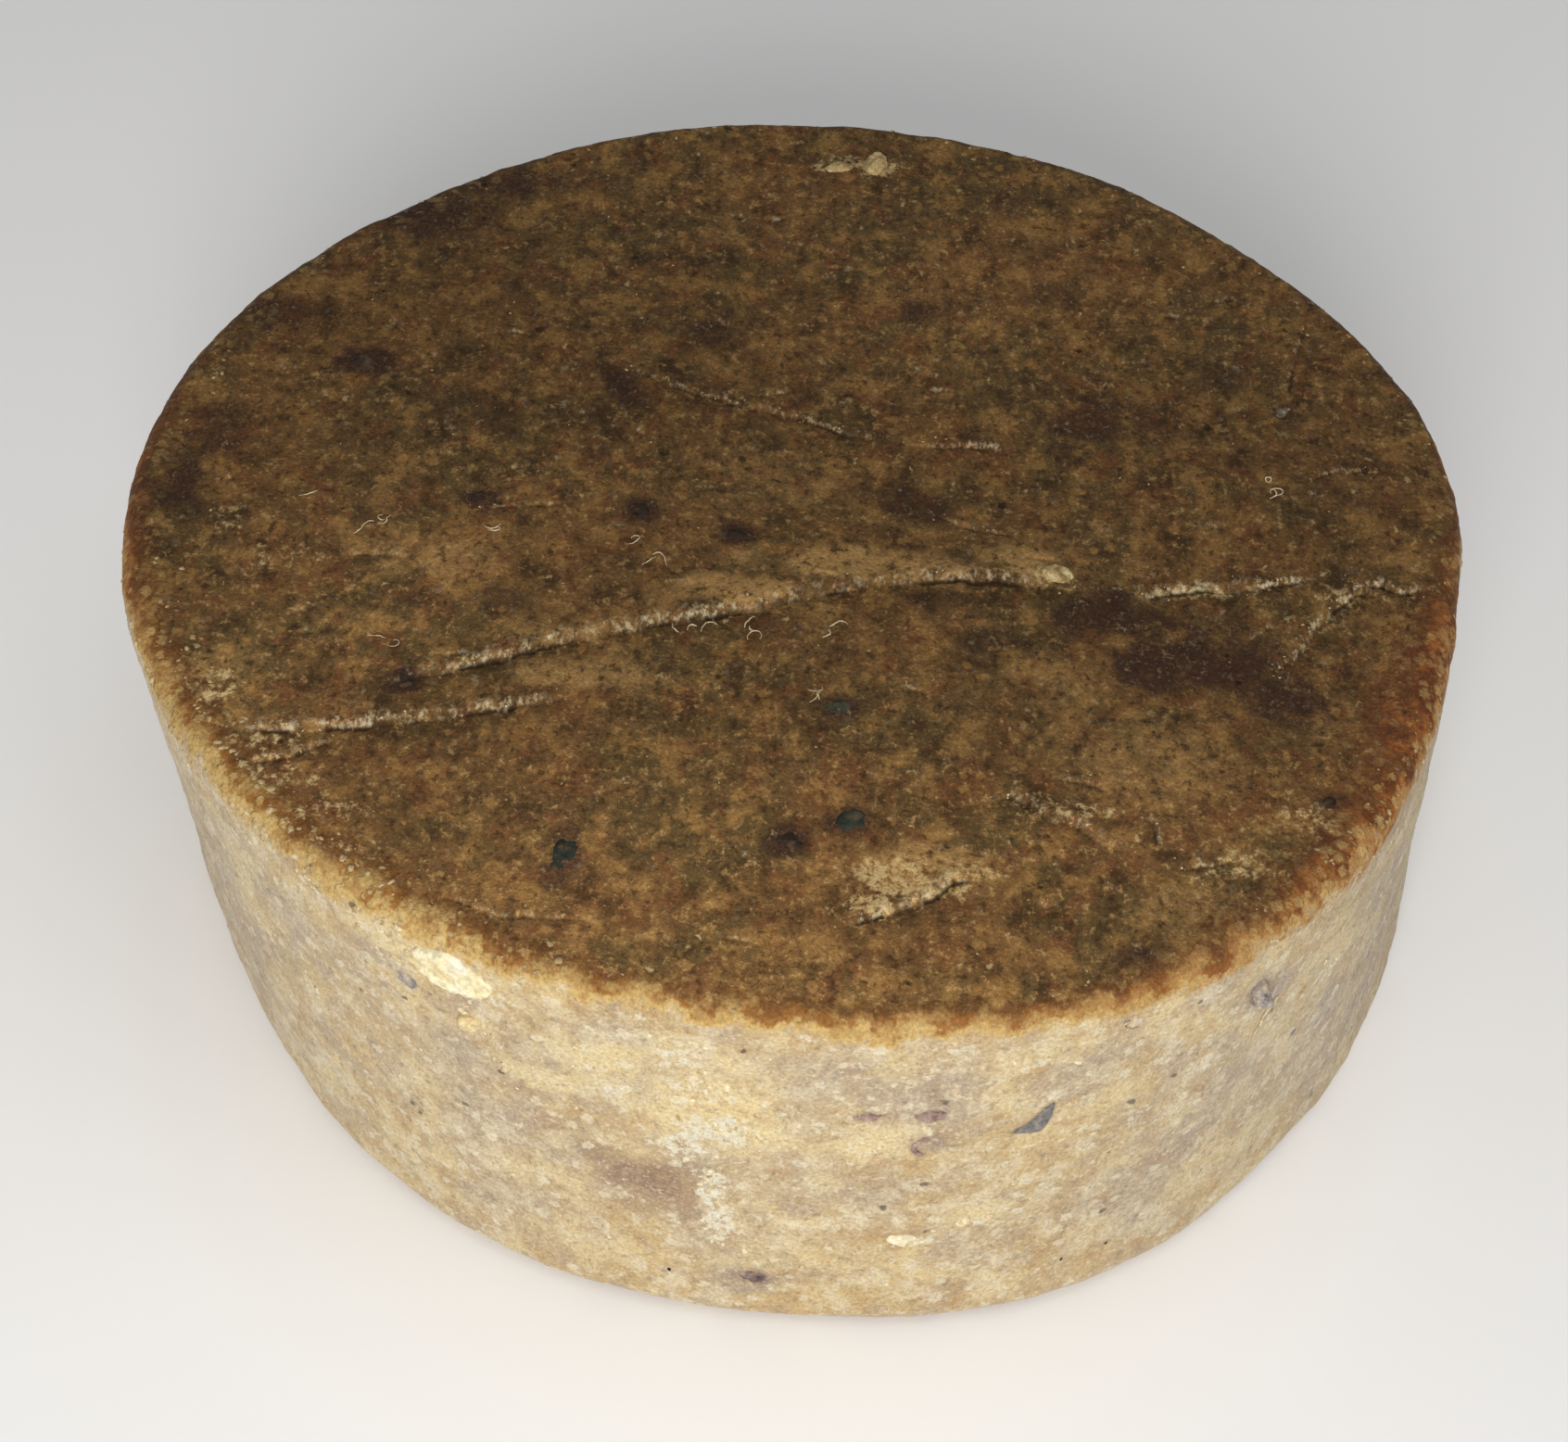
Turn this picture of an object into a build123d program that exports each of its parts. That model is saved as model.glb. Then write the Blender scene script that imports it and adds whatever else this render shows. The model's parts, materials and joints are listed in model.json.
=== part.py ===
from build123d import *
import os
from math import cos, pi, radians, sin

# A puck of shaving soap, hand pressed into a slightly uneven mould, with the botanicals and
# crumbs that were stirred into it. Millimetres. The origin is the centre of the base, +Z is up,
# and the worn front edge faces -Y. Angles run counter-clockwise from +X, seen from above.

os.makedirs("parts", exist_ok=True)

# ---- soap mass ----
HEIGHT = 27.2
RADIUS = 38.0
RIM_ROUND = 1.4
BASE_ROUND = 1.8

# How far the outline stands in or out of RADIUS, every 22.5 degrees from +X.
RIM_WAVE = (-0.8, 0.2, -0.3, 0.1, 0.1, -0.2, -0.2, 0.6, 1.1, 1.0, 0.3, -0.4, -0.4, 0.6, 0.3, -1.0)
BASE_WAVE = (-0.2, -0.9, -1.0, -0.9, -0.9, -0.9, -0.9, -0.9, -0.5, -2.4, -1.8, -1.0, -0.8, 0.1, -0.2, -0.4)

# ---- inclusions ----
CHIP_PROUD = 0.2  # how far a chip stands out of the soap
CHIP_DEPTH = 0.7  # how deep it is seated
CHIP_TAPER = 12  # degrees, on both sides of its widest outline
LUMP_PROUD = 0.45
LUMP_DEPTH = 1.1
LUMP_ROUND = 0.25
SPECK_PROUD = 0.1
SPECK_DEPTH = 0.35
FIBRE_THICKNESS = 0.2
RING_WALL = 0.35

# Outlines of broken chips, as fractions of their length and width.
SHARD = ((-0.5, -0.1), (-0.2, -0.5), (0.35, -0.4), (0.5, 0.1), (0.1, 0.5), (-0.35, 0.35))
SPLINTER = ((-0.5, 0.0), (-0.1, -0.5), (0.4, -0.35), (0.5, 0.2), (0.0, 0.5))
LEAF = ((-0.5, 0.05), (-0.25, -0.4), (0.2, -0.5), (0.5, 0.1), (0.25, 0.5), (-0.2, 0.4))
WEDGE = ((-0.5, -0.45), (0.3, -0.5), (0.42, -0.1), (0.5, 0.5), (0.2, 0.25), (0.0, -0.08))
GRAIN = ((-0.5, -0.15), (0.05, -0.5), (0.5, 0.0), (0.15, 0.5), (-0.4, 0.35))


def outline(wave):
    """Points of the puck's outline, from its waviness."""
    step = 2 * pi / len(wave)
    return [((RADIUS + w) * cos(i * step), (RADIUS + w) * sin(i * step)) for i, w in enumerate(wave)]


# The pressed puck before anything is seated in it.
with BuildPart() as blank:
    for level, wave in ((0, BASE_WAVE), (HEIGHT, RIM_WAVE)):
        with BuildSketch(Plane.XY.offset(level)):
            with BuildLine():
                Spline(*outline(wave), periodic=True)
            make_face()
    loft()
    fillet(blank.faces().sort_by(Axis.Z)[-1].edges(), RIM_ROUND)
    fillet(blank.faces().sort_by(Axis.Z)[0].edges(), BASE_ROUND)


def on_top(x, y, turn=0):
    """Plane on the upper face at x, y, its X axis turned from +X."""
    point, _ = blank.part.find_intersection_points(Axis((x, y, 0), (0, 0, 1)))[-1]
    return Plane(origin=point, x_dir=(1, 0, 0), z_dir=(0, 0, 1)).rotated((0, 0, turn))


def on_wall(angle, height, turn=0):
    """Plane on the side wall, its X axis along the rim, turned about the outward normal."""
    out = (cos(radians(angle)), sin(radians(angle)), 0)
    point, normal = blank.part.find_intersection_points(Axis((0, 0, height), out))[-1]
    along = (-out[1], out[0], 0)
    return Plane(origin=point, x_dir=along, z_dir=normal).rotated((0, 0, turn))


# Flat broken chips: where each one is seated, its length, its width and its outline.
CHIPS = {
    "char_chip_back_left": (on_top(-27.2, 10.3, -8), 2.9, 1.9, SHARD),
    "char_chip_centre": (on_top(-4.3, -2.8, 10), 1.9, 1.3, SHARD),
    "char_chip_left_of_centre": (on_top(-10.0, -1.3, -20), 1.6, 1.4, SPLINTER),
    "char_chip_left": (on_top(-19.2, -1.0, 0), 1.9, 1.0, SPLINTER),
    "char_chip_front_left": (on_top(-21.2, -16.0, 15), 1.6, 1.2, SHARD),
    "char_chip_front": (on_top(-0.3, -25.6, 20), 2.0, 1.6, SHARD),
    "char_chip_right": (on_top(28.1, -20.5, 40), 1.4, 1.1, GRAIN),
    "teal_leaf_flake": (on_top(-11.7, -27.8, 82), 4.0, 1.3, LEAF),
    "teal_leaf_sliver": (on_top(1.9, -16.1, 5), 2.4, 1.0, SPLINTER),
    "blue_leaf_flake": (on_top(2.9, -24.1, 30), 2.1, 1.7, LEAF),
    "pale_grit": (on_top(27.5, 10.9, 70), 1.5, 1.2, GRAIN),
    "slate_flake": (on_wall(290, 18.6), 2.3, 2.5, WEDGE),
    "husk_splinter": (on_wall(282, 19.6, 5), 2.0, 0.9, SPLINTER),
    "red_husk_sliver": (on_wall(277, 19.6, -4), 1.6, 0.5, SPLINTER),
    "blue_chip_side": (on_wall(239, 22.2, -15), 1.9, 1.1, SHARD),
    "grey_flake_side": (on_wall(310, 22.1, 70), 3.0, 1.6, LEAF),
    "purple_chip_low": (on_wall(269, 4.4, 0), 2.2, 1.2, SHARD),
    "cream_chip_low": (on_wall(281, 8.6, 10), 2.2, 1.0, SHARD),
    "cream_chip_low_small": (on_wall(286, 10.1, 20), 1.5, 0.8, GRAIN),
}

# Rounded lumps of unmelted butter: seat, length and width.
LUMPS = {
    "cream_lump_rim": (on_wall(243.5, 24.7, 0), 5.0, 2.7),
    "cream_lump_back": (on_top(2.5, 33.3, 80), 2.4, 1.4),
    "cream_crumb_back": (on_top(0.1, 32.6, 10), 1.8, 1.0),
    "cream_crumb_fold": (on_top(13.8, -4.4, 0), 1.9, 1.3),
    "cream_bead_side": (on_wall(245, 21.1, 20), 1.3, 1.2),
}

# Pinhead specks of char: seat and size.
SPECKS = (
    (on_top(30.8, -15.1, 10), 0.8),
    (on_top(18.7, -15.6, 50), 0.5),
    (on_top(-32.8, -17.9, 20), 0.9),
    (on_top(-13.1, -10.7, 0), 0.5),
    (on_top(-19.5, -17.6, 70), 0.5),
    (on_top(-35.4, -11.4, 15), 0.6),
    (on_top(-29.0, -12.0, 35), 0.5),
    (on_top(-9.6, -7.2, 60), 0.6),
    (on_top(2.6, -13.3, 25), 0.5),
    (on_top(-4.4, -14.8, 80), 0.6),
    (on_top(21.6, -5.2, 5), 0.6),
    (on_top(22.8, -9.9, 45), 0.5),
    (on_top(31.4, 1.4, 65), 0.6),
    (on_top(30.7, -18.5, 30), 0.5),
    (on_top(21.9, -25.0, 75), 0.6),
    (on_top(19.9, -28.4, 15), 0.5),
    (on_top(26.3, -23.2, 55), 0.5),
    (on_top(-11.2, -30.8, 40), 0.5),
    (on_top(-7.4, -31.9, 20), 0.5),
    (on_top(6.0, -33.6, 85), 0.6),
    (on_wall(272, 18.4, 10), 0.6),
    (on_wall(295, 4.4, 30), 0.6),
    (on_wall(262, 4.2, 50), 0.6),
    (on_wall(299, 4.4, 70), 0.5),
    (on_wall(317, 15.8, 20), 0.6),
)

# Curled plant hairs, lying half sunk: seat, radius of the curl and the arc that it covers.
FIBRES = (
    (on_top(-28.3, -1.8, 20), 0.6, 150),
    (on_top(-22.2, -12.9, 100), 0.5, 190),
    (on_top(-24.7, -3.9, 60), 0.5, 120),
    (on_top(-17.6, -3.4, 140), 0.6, 140),
    (on_top(-10.1, -4.0, 10), 0.4, 210),
    (on_top(-8.6, -5.3, 80), 0.5, 150),
    (on_top(-6.8, -11.1, 200), 0.4, 180),
    (on_top(-3.2, -10.9, 40), 0.4, 230),
    (on_top(1.6, -10.4, 120), 0.5, 110),
    (on_top(0.7, -14.4, 160), 0.5, 130),
    (on_top(26.6, 3.4, 75), 0.6, 100),
    (on_wall(316, 23.9, 30), 0.6, 140),
    (on_wall(297, 24.6, 0), 0.4, 230),
)
LONG_HAIR = (on_wall(312, 19.2, 45), 1.5, 120)
HUSK_RING = (on_wall(282, 17.0, 0), 0.75, 250)


def chip_part(name, seat, length, width, corners, proud=CHIP_PROUD, depth=CHIP_DEPTH):
    """One flat chip, widest at the soap's surface."""
    with BuildPart() as chip:
        with BuildSketch(seat, mode=Mode.PRIVATE) as face:
            with BuildLine():
                Polyline(*[(length * x, width * y) for x, y in corners], close=True)
            make_face()
        extrude(face.sketch, amount=proud, taper=CHIP_TAPER)
        extrude(face.sketch, amount=-depth, taper=CHIP_TAPER)
    chip.part.label = name
    return chip.part


def lump_part(name, seat, length, width):
    """One oval lump with a rounded face that stands proud of the soap."""
    with BuildPart() as lump:
        with BuildSketch(seat.offset(-LUMP_DEPTH)):
            Ellipse(length / 2, width / 2)
        extrude(amount=LUMP_DEPTH + LUMP_PROUD)
        face = lump.faces().sort_by(Axis(seat.origin, seat.z_dir))[-1]
        fillet(face.edges(), LUMP_ROUND)
    lump.part.label = name
    return lump.part


def curl_part(name, seat, radius, arc, thickness):
    """One round strand, bent to part of a circle that lies flat in the surface."""
    section_at = Plane(origin=seat.origin, x_dir=seat.x_dir, z_dir=-seat.y_dir)
    with BuildPart() as curl:
        with BuildSketch(section_at):
            with Locations((radius, 0)):
                Circle(thickness / 2)
        revolve(axis=Axis(seat.origin, seat.z_dir), revolution_arc=arc)
    curl.part.label = name
    return curl.part


def group_part(name, members):
    """Separate small pieces of one kind, kept together in one node."""
    with BuildPart() as group:
        add(members)
    group.part.label = name
    return group.part


inclusions = [chip_part(name, *shape) for name, shape in CHIPS.items()]
inclusions += [lump_part(name, *shape) for name, shape in LUMPS.items()]
inclusions.append(curl_part("husk_ring", *HUSK_RING, thickness=RING_WALL))
inclusions.append(curl_part("long_plant_hair", *LONG_HAIR, thickness=FIBRE_THICKNESS))

grains = [chip_part("speck", seat, size, size, GRAIN, SPECK_PROUD, SPECK_DEPTH) for seat, size in SPECKS]
inclusions.append(group_part("char_specks", grains))

hairs = [curl_part("hair", *shape, thickness=FIBRE_THICKNESS) for shape in FIBRES]
inclusions.append(group_part("plant_hairs", hairs))

# The soap mass: the blank with a close pocket round every inclusion.
with BuildPart() as soap_body:
    add(blank.part)
    add(inclusions, mode=Mode.SUBTRACT)
soap_body.part.label = "soap_body"

for piece in [soap_body.part, *inclusions]:
    export_step(piece, f"parts/{piece.label}.step")
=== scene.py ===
"""A puck of hand-pressed shaving soap: worn brown top, pale waxy wall, folds, cracks and botanicals.
The top's darker brown against the wall's pale tan is partly the soap's own colour and partly painted
shade and light.

Lengths in this file are millimetres in the part's own frame: origin at the centre of the base, +Z up,
front edge towards -Y, angles counter-clockwise from +X. They turn into metres when a mesh, a light or
the camera is made.
"""

import json
from collections import namedtuple
from math import cos, radians, sin

import bmesh
import bpy
import numpy as np
from mathutils import Matrix, Vector
from mathutils.bvhtree import BVHTree


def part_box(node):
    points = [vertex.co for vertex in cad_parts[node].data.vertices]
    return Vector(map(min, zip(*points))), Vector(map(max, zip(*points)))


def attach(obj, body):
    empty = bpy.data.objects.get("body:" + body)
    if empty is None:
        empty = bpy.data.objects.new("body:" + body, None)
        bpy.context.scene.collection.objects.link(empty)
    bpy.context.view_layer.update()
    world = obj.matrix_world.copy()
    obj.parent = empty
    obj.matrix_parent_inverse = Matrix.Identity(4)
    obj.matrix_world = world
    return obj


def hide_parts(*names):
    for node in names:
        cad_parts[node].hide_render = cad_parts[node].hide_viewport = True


MM = 0.001

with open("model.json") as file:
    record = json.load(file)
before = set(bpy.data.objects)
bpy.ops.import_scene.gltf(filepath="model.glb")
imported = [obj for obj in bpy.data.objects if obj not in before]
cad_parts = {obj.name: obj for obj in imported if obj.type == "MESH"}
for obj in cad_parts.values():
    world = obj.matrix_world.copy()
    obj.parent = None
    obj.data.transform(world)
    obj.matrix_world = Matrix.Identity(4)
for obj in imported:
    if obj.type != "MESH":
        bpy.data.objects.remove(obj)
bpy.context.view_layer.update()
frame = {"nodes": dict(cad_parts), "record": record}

# ---- the pressed shape, as in the CAD model ----
_, body_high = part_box("soap_body")
HEIGHT = body_high[2] / MM
RADIUS = 38.0
RIM_ROUND = 1.4
BASE_ROUND = 1.8
FRONT = 270.0  # the angle that faces the camera

# ---- how finely the surface is cut ----
TOP_STEP = 0.38
ROUND_STEP = 0.32
WALL_STEP = 0.52
BASE_STEP = 1.3
FINE_REACH = 0.5  # within this distance of a fold or crack the triangles are halved
FINEST_REACH = 0.22  # and here they are halved again

# ---- folds on the top: a lap of soap that stands higher behind, with a torn pale lip over a crevice ----
# The lip's paleness is partly torn soap and partly painted highlight; the crevice's dark line is painted
# shade, and the darker band in front of it painted shade with some stain.
# Each is (points along the lip, rise of the lip, how far the rise reaches back, paleness of the lip).
TOP_FOLDS = (
    (((-23.2, -16.6), (-19.2, -15.1), (-16.3, -13.9), (-13.7, -12.6), (-8.6, -10.6), (-3.5, -9.0),
      (-0.2, -7.7)),
     0.5, 2.6, 1.0),
    (((-5.6, -9.7), (-1.4, -8.1), (2.9, -6.5), (6.9, -5.5), (10.5, -5.2), (15.5, -5.4)),
     0.5, 3.2, 0.65),
    (((17.5, -5.9), (18.8, -5.6), (21.5, -4.8), (24.5, -4.5), (27.0, -3.9), (28.6, -3.0)),
     0.3, 1.6, 1.0),
    (((-30.8, -20.1), (-27.8, -20.3), (-25.5, -20.0), (-21.8, -19.2), (-17.0, -17.9), (-14.6, -17.2),
      (-11.6, -16.2)),
     0.42, 1.8, 1.0),
    (((-29.0, -22.7), (-26.5, -21.9), (-24.3, -20.3)), 0.2, 1.2, 0.45),
    (((-12.5, 11.5), (-10.5, 10.7), (-7.8, 9.6), (-4.3, 8.5), (-2.0, 8.0), (0.4, 7.0), (1.9, 6.5),
      (4.5, 6.2)),
     0.22, 0.9, 0.7),
    (((5.2, 6.0), (7.4, 6.1), (11.2, 6.3)), 0.2, 0.7, 0.9),
    (((25.5, -11.6), (25.8, -10.7), (26.9, -9.6), (27.9, -7.9), (28.5, -6.9), (30.1, -4.9),
      (31.0, -4.4), (31.6, -3.6), (33.3, -4.0), (36.0, -3.1)),
     0.3, 1.3, 1.0),
    (((10.0, -22.0), (11.2, -21.7), (12.3, -22.2), (13.2, -22.8), (14.5, -23.2), (15.6, -24.1),
      (17.3, -24.9)),
     0.34, 1.1, 0.85),
    (((18.1, -22.5), (18.7, -22.9), (18.8, -24.7)), 0.2, 0.6, 0.6),
    (((13.1, -20.0), (14.8, -20.2), (16.7, -20.9)), 0.16, 0.8, 0.5),
    (((2.4, -31.4), (3.7, -30.8), (5.5, -29.9), (7.2, -29.0), (8.3, -27.8), (10.2, -27.4)),
     0.36, 1.4, 1.0),
    (((-18.0, -31.0), (-15.8, -31.6), (-14.0, -32.0), (-9.8, -31.8)), 0.16, 1.0, 0.45),
    (((12.2, -28.8), (13.4, -28.6), (14.0, -27.5)), 0.18, 0.7, 0.6),
    (((18.9, -26.7), (19.0, -28.8)), 0.12, 0.6, 0.6),
    (((19.5, -26.0), (21.4, -25.5), (22.9, -25.0)), 0.12, 0.7, 0.6),
    (((28.2, 4.5), (30.3, 5.8), (33.2, 6.3)), 0.12, 0.9, 0.5),
    (((27.4, 10.4), (28.2, 14.9), (29.3, 19.8)), 0.16, 0.6, 0.4),
    (((-18.9, -1.8), (-14.9, -1.2), (-13.3, 0.0)), 0.1, 0.6, 0.35),
    (((-26.2, -6.2), (-23.9, -6.1), (-22.1, -6.1)), 0.1, 0.5, 0.5),
    (((6.9, 0.1), (8.9, -0.9), (12.1, -1.3)), 0.14, 0.6, 0.55),
)

# ---- broad stains on the top: (x, y, half length, half width, strength) ----
TOP_BLOTCHES = (
    (20.8, -10.6, 5.8, 3.2, 1.0), (25.0, -12.9, 4.2, 2.6, 1.0), (16.6, -7.9, 3.6, 2.6, 0.9),
    (16.7, 8.6, 4.2, 2.6, 0.7), (6.0, 18.5, 2.6, 1.8, 0.8), (13.7, 20.7, 2.6, 1.6, 0.55),
    (-6.6, 15.4, 1.7, 2.6, 0.8), (5.1, 0.6, 2.6, 2.0, 0.75), (10.8, -10.1, 2.6, 1.3, 0.7),
    (-36.2, -1.6, 2.4, 2.8, 0.85), (-35.4, 3.0, 2.4, 2.6, 0.7), (-32.7, 14.0, 3.2, 2.8, 0.7),
    (-24.9, 24.9, 4.6, 2.8, 0.9), (-20.5, 28.5, 4.6, 2.2, 0.8), (17.4, -32.0, 1.6, 1.2, 0.9),
    (1.5, -11.7, 1.8, 0.9, 0.5), (-20.5, 6.4, 3.4, 2.4, 0.5), (-27.6, 3.5, 2.4, 1.6, 0.45),
    (30.5, 3.4, 3.2, 2.4, 0.5), (33.2, -14.7, 2.2, 3.0, 0.55), (-11.4, 9.0, 1.4, 2.4, 1.0),
    (24.5, 12.8, 3.6, 3.0, 0.35), (8.0, -7.0, 3.2, 0.9, 0.6), (-1.2, -10.0, 3.6, 0.8, 0.5),
    (-23.8, -17.4, 1.4, 1.0, 0.5), (9.5, -14.8, 2.4, 1.0, 0.35), (-16.2, -9.5, 2.2, 1.4, 0.6),
    (-21.9, -9.8, 1.2, 0.9, 0.6), (-24.4, -1.8, 1.8, 1.3, 0.45), (-33.0, -18.4, 0.6, 1.0, 1.0),
    (-13.4, 2.6, 1.8, 1.2, 0.4),
)

# ---- warm patches on the top: painted glow of light shining through the translucent soap ----
TOP_GLOWS = (
    (3.0, -5.1, 6.4, 1.3, 0.9), (-4.0, -7.7, 4.4, 1.1, 0.8), (-11.4, -14.4, 4.0, 1.2, 0.6),
    (12.4, -3.6, 3.0, 1.6, 0.8), (-13.9, -12.0, 3.6, 1.2, 0.45), (-13.0, -15.3, 2.6, 0.9, 0.85),
    (7.2, -26.9, 3.4, 1.6, 0.7), (17.9, -17.7, 4.5, 3.5, 0.35), (-20.9, -6.0, 3.5, 1.6, 0.5),
    (32.3, -17.7, 1.6, 2.2, 0.7), (14.3, -13.3, 3.0, 2.2, 0.3), (20.9, -29.0, 4.0, 2.2, 0.35),
    (-2.0, 1.9, 5.0, 3.0, 0.2), (29.5, -21.7, 1.8, 2.6, 0.5), (-31.0, -15.7, 2.4, 2.0, 0.3),
)

# ---- how much paler or darker the top is, broadly: (x, y, half length, half width, change) ----
# The first, a broad lift towards the front edge, is painted light: the top is made paler at the front and
# darker at the back, as the light falls from the front.
TOP_TONES = (
    (0.1, -41.9, 90, 25, 0.66), (-23.9, -9.6, 8, 6, 0.45), (-19.9, 0.3, 9, 4, 0.16),
    (-8.9, -29.2, 13, 7, 0.32), (14.9, -16.2, 12, 4, -0.12), (-19.9, 16.1, 13, 11, -0.16),
    (7.9, 17.2, 9, 7, 0.16), (21.8, 8.4, 9, 8, -0.1), (14.9, -1.5, 5, 3, 0.12),
    (-6.0, 7.3, 9, 5, -0.08), (-30.8, -20.4, 6, 6, 0.45), (-19.8, -31.2, 8, 3, 0.3),
    (-1.9, -36.0, 10, 2.4, 0.35), (16.0, -24.1, 6, 4, 0.2), (20.0, -30.0, 5, 2, -0.3),
    (-4.0, -8.5, 6, 3, 0.15), (0.0, 26.0, 24, 9, 0.1), (24.5, -20.5, 5, 5, 0.14),
)

# ---- torn cream-coloured places on the top ----
TOP_CREAM = (
    (6.2, -27.8, 2.6, 1.2, 0.95), (3.9, -29.9, 1.2, 0.8, 0.9), (9.4, -27.0, 1.8, 0.5, 0.8),
    (15.2, -22.5, 2.8, 0.8, 0.5), (2.3, 33.0, 2.4, 1.0, 0.7), (-0.7, 32.7, 1.6, 0.7, 0.5),
    (13.8, -4.5, 1.5, 0.9, 0.7), (21.4, -5.0, 3.0, 0.5, 0.5), (30.3, -4.9, 2.6, 0.7, 0.5),
    (-28.8, -21.0, 3.0, 0.9, 0.45), (-26.6, -23.0, 2.4, 1.2, 0.4), (22.4, -25.7, 2.4, 1.4, 0.4),
    (26.5, -22.1, 1.6, 1.6, 0.45), (27.2, 10.8, 0.9, 0.8, 0.4), (-31.3, -17.5, 1.6, 1.6, 0.5),
    (-24.8, -25.7, 2.6, 1.0, 0.4), (-30.6, -7.2, 0.8, 2.2, 0.4), (-32.8, -4.1, 0.9, 1.6, 0.35),
    (-23.8, -28.3, 2.4, 0.9, 0.4), (-8.9, -22.5, 1.6, 0.7, 0.3), (3.3, 8.7, 1.2, 0.6, 0.3),
    (-28.0, -6.4, 1.5, 0.7, 0.4),
)

# ---- how far the brown runs over the edge and down the wall, by angle ----
BROWN_OVER_EDGE = {
    0: 0.9, 20: 0.9, 60: 1.0, 120: 1.2, 160: 1.3, 180: 1.1, 190: 0.5, 200: 0.15, 215: 0.15, 235: 0.45,
    270: 0.4, 300: 0.7, 325: 0.75, 345: 0.8,
}

# ---- width of the amber edge of the top, by angle: the amber edge is painted glow, light shining through the thin rim ----
AMBER_WIDTH = {
    0: 1.0, 20: 0.6, 90: 0.5, 145: 0.6, 160: 1.0, 175: 1.3, 190: 1.3, 197: 1.1, 212: 1.6, 228: 1.7,
    244: 1.3, 256: 1.1, 270: 1.0, 285: 1.05, 300: 1.3, 312: 1.8, 326: 2.4, 340: 2.6, 350: 1.8,
}

# ---- how reddish the amber edge's painted glow is, by angle ----
EDGE_REDNESS = {
    0: 0.7, 165: 0.7, 180: 1.0, 192: 0.8, 200: 0.4, 215: 0.0, 270: 0.0, 290: 0.25, 305: 0.5, 325: 1.0,
    345: 1.0,
}

# ---- how crumbly the rim is, by angle ----
RIM_CRUMBS = {0: 0.35, 90: 0.3, 185: 0.35, 205: 1, 240: 1, 262: 0.4, 300: 0.3, 325: 0.8, 345: 0.5}

# ---- how strongly the wall yellows under the rim, by angle ----
RIM_GOLD = {0: 0.9, 60: 0.5, 150: 0.5, 200: 1.0, 240: 1.0, 262: 0.5, 310: 0.5, 345: 1.0}

# ---- patches on the wall: (angle, height, half length, half height, strength) ----
WALL_BUTTER = (
    (256, 21.3, 3.0, 1.8, 0.8), (264, 20.0, 3.4, 3.6, 0.9), (267, 17.4, 2.6, 1.6, 1.0),
    (278, 17.2, 1.9, 1.4, 0.9), (245, 21.0, 1.6, 1.2, 0.7), (251, 18.3, 2.6, 1.2, 0.8),
    (238.5, 25.0, 3.4, 1.6, 1.0), (219, 19.4, 1.6, 4.0, 0.7), (228, 15.6, 1.2, 1.2, 0.5),
    (286, 10.4, 2.2, 1.0, 0.6), (274, 7.0, 5.0, 1.6, 0.4), (262, 24.4, 2.4, 0.8, 0.5),
    (290, 23.6, 3.4, 0.9, 0.35), (248, 9.0, 3.0, 1.4, 0.45), (236, 12.0, 3.0, 1.6, 0.3),
    (100, 16.0, 6.0, 4.0, 0.5), (20, 10.0, 5.0, 3.0, 0.5), (150, 20.0, 5.0, 2.6, 0.5),
)
WALL_GREY = (
    (258, 24.4, 1.8, 0.9, 0.7), (273, 23.6, 3.2, 1.2, 0.55), (279, 21.6, 4.6, 1.8, 0.6),
    (278, 12.4, 2.4, 1.0, 0.6), (268, 4.0, 3.4, 1.2, 0.9), (299, 9.6, 4.5, 3.2, 0.45),
    (242, 17.5, 5.0, 1.6, 0.45), (252, 14.6, 4.5, 1.3, 0.4), (229, 20.6, 4.0, 1.8, 0.55),
    (311, 22.0, 1.8, 2.2, 0.9), (322, 12.0, 3.4, 5.0, 0.5), (308, 12.0, 4.0, 3.0, 0.4),
    (237, 23.4, 1.8, 1.2, 0.9), (333, 13.0, 4.0, 8.0, 0.6), (214, 13.0, 4.0, 8.0, 0.55),
    (283, 19.6, 2.0, 0.8, 0.6), (282, 17.8, 1.4, 1.0, 0.5), (70, 13.0, 6.0, 4.0, 0.5),
    (130, 8.0, 5.0, 3.0, 0.5), (20, 19.0, 4.0, 3.0, 0.5),
)
WALL_RUST = (
    (259.5, 11.6, 3.2, 1.8, 1.0), (256.5, 13.2, 2.4, 1.0, 0.8), (263.2, 13.6, 1.4, 0.7, 0.7),
    (262, 9.6, 2.2, 1.3, 0.6), (277, 19.6, 1.6, 0.5, 0.6), (326, 24.4, 6.0, 1.3, 0.55),
    (246, 6.0, 1.2, 1.0, 0.4), (110, 10.0, 3.0, 1.6, 0.7), (35, 15.0, 2.4, 1.4, 0.6),
    (282, 17.2, 1.2, 0.9, 0.6), (269, 4.4, 1.8, 0.8, 0.7),
)
WALL_BLOOM = (
    (262.5, 22.8, 1.6, 1.2, 0.55), (264.0, 20.6, 1.8, 1.0, 0.6), (265.5, 17.4, 1.9, 1.3, 0.85),
    (263.0, 15.6, 1.8, 1.0, 0.8), (265.0, 13.6, 1.0, 1.0, 0.9), (265.3, 11.9, 0.9, 1.4, 1.0),
    (265.8, 9.9, 0.9, 1.4, 1.0), (266.2, 8.2, 0.5, 0.9, 0.9), (258, 19.2, 1.4, 0.9, 0.5),
    (248, 24.2, 1.2, 0.8, 0.4), (320, 18.0, 2.6, 1.6, 0.4), (80, 19.0, 1.4, 4.0, 0.6),
    (286.5, 9.9, 1.0, 0.5, 0.8), (281.5, 8.4, 1.3, 0.5, 0.8),
)

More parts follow.
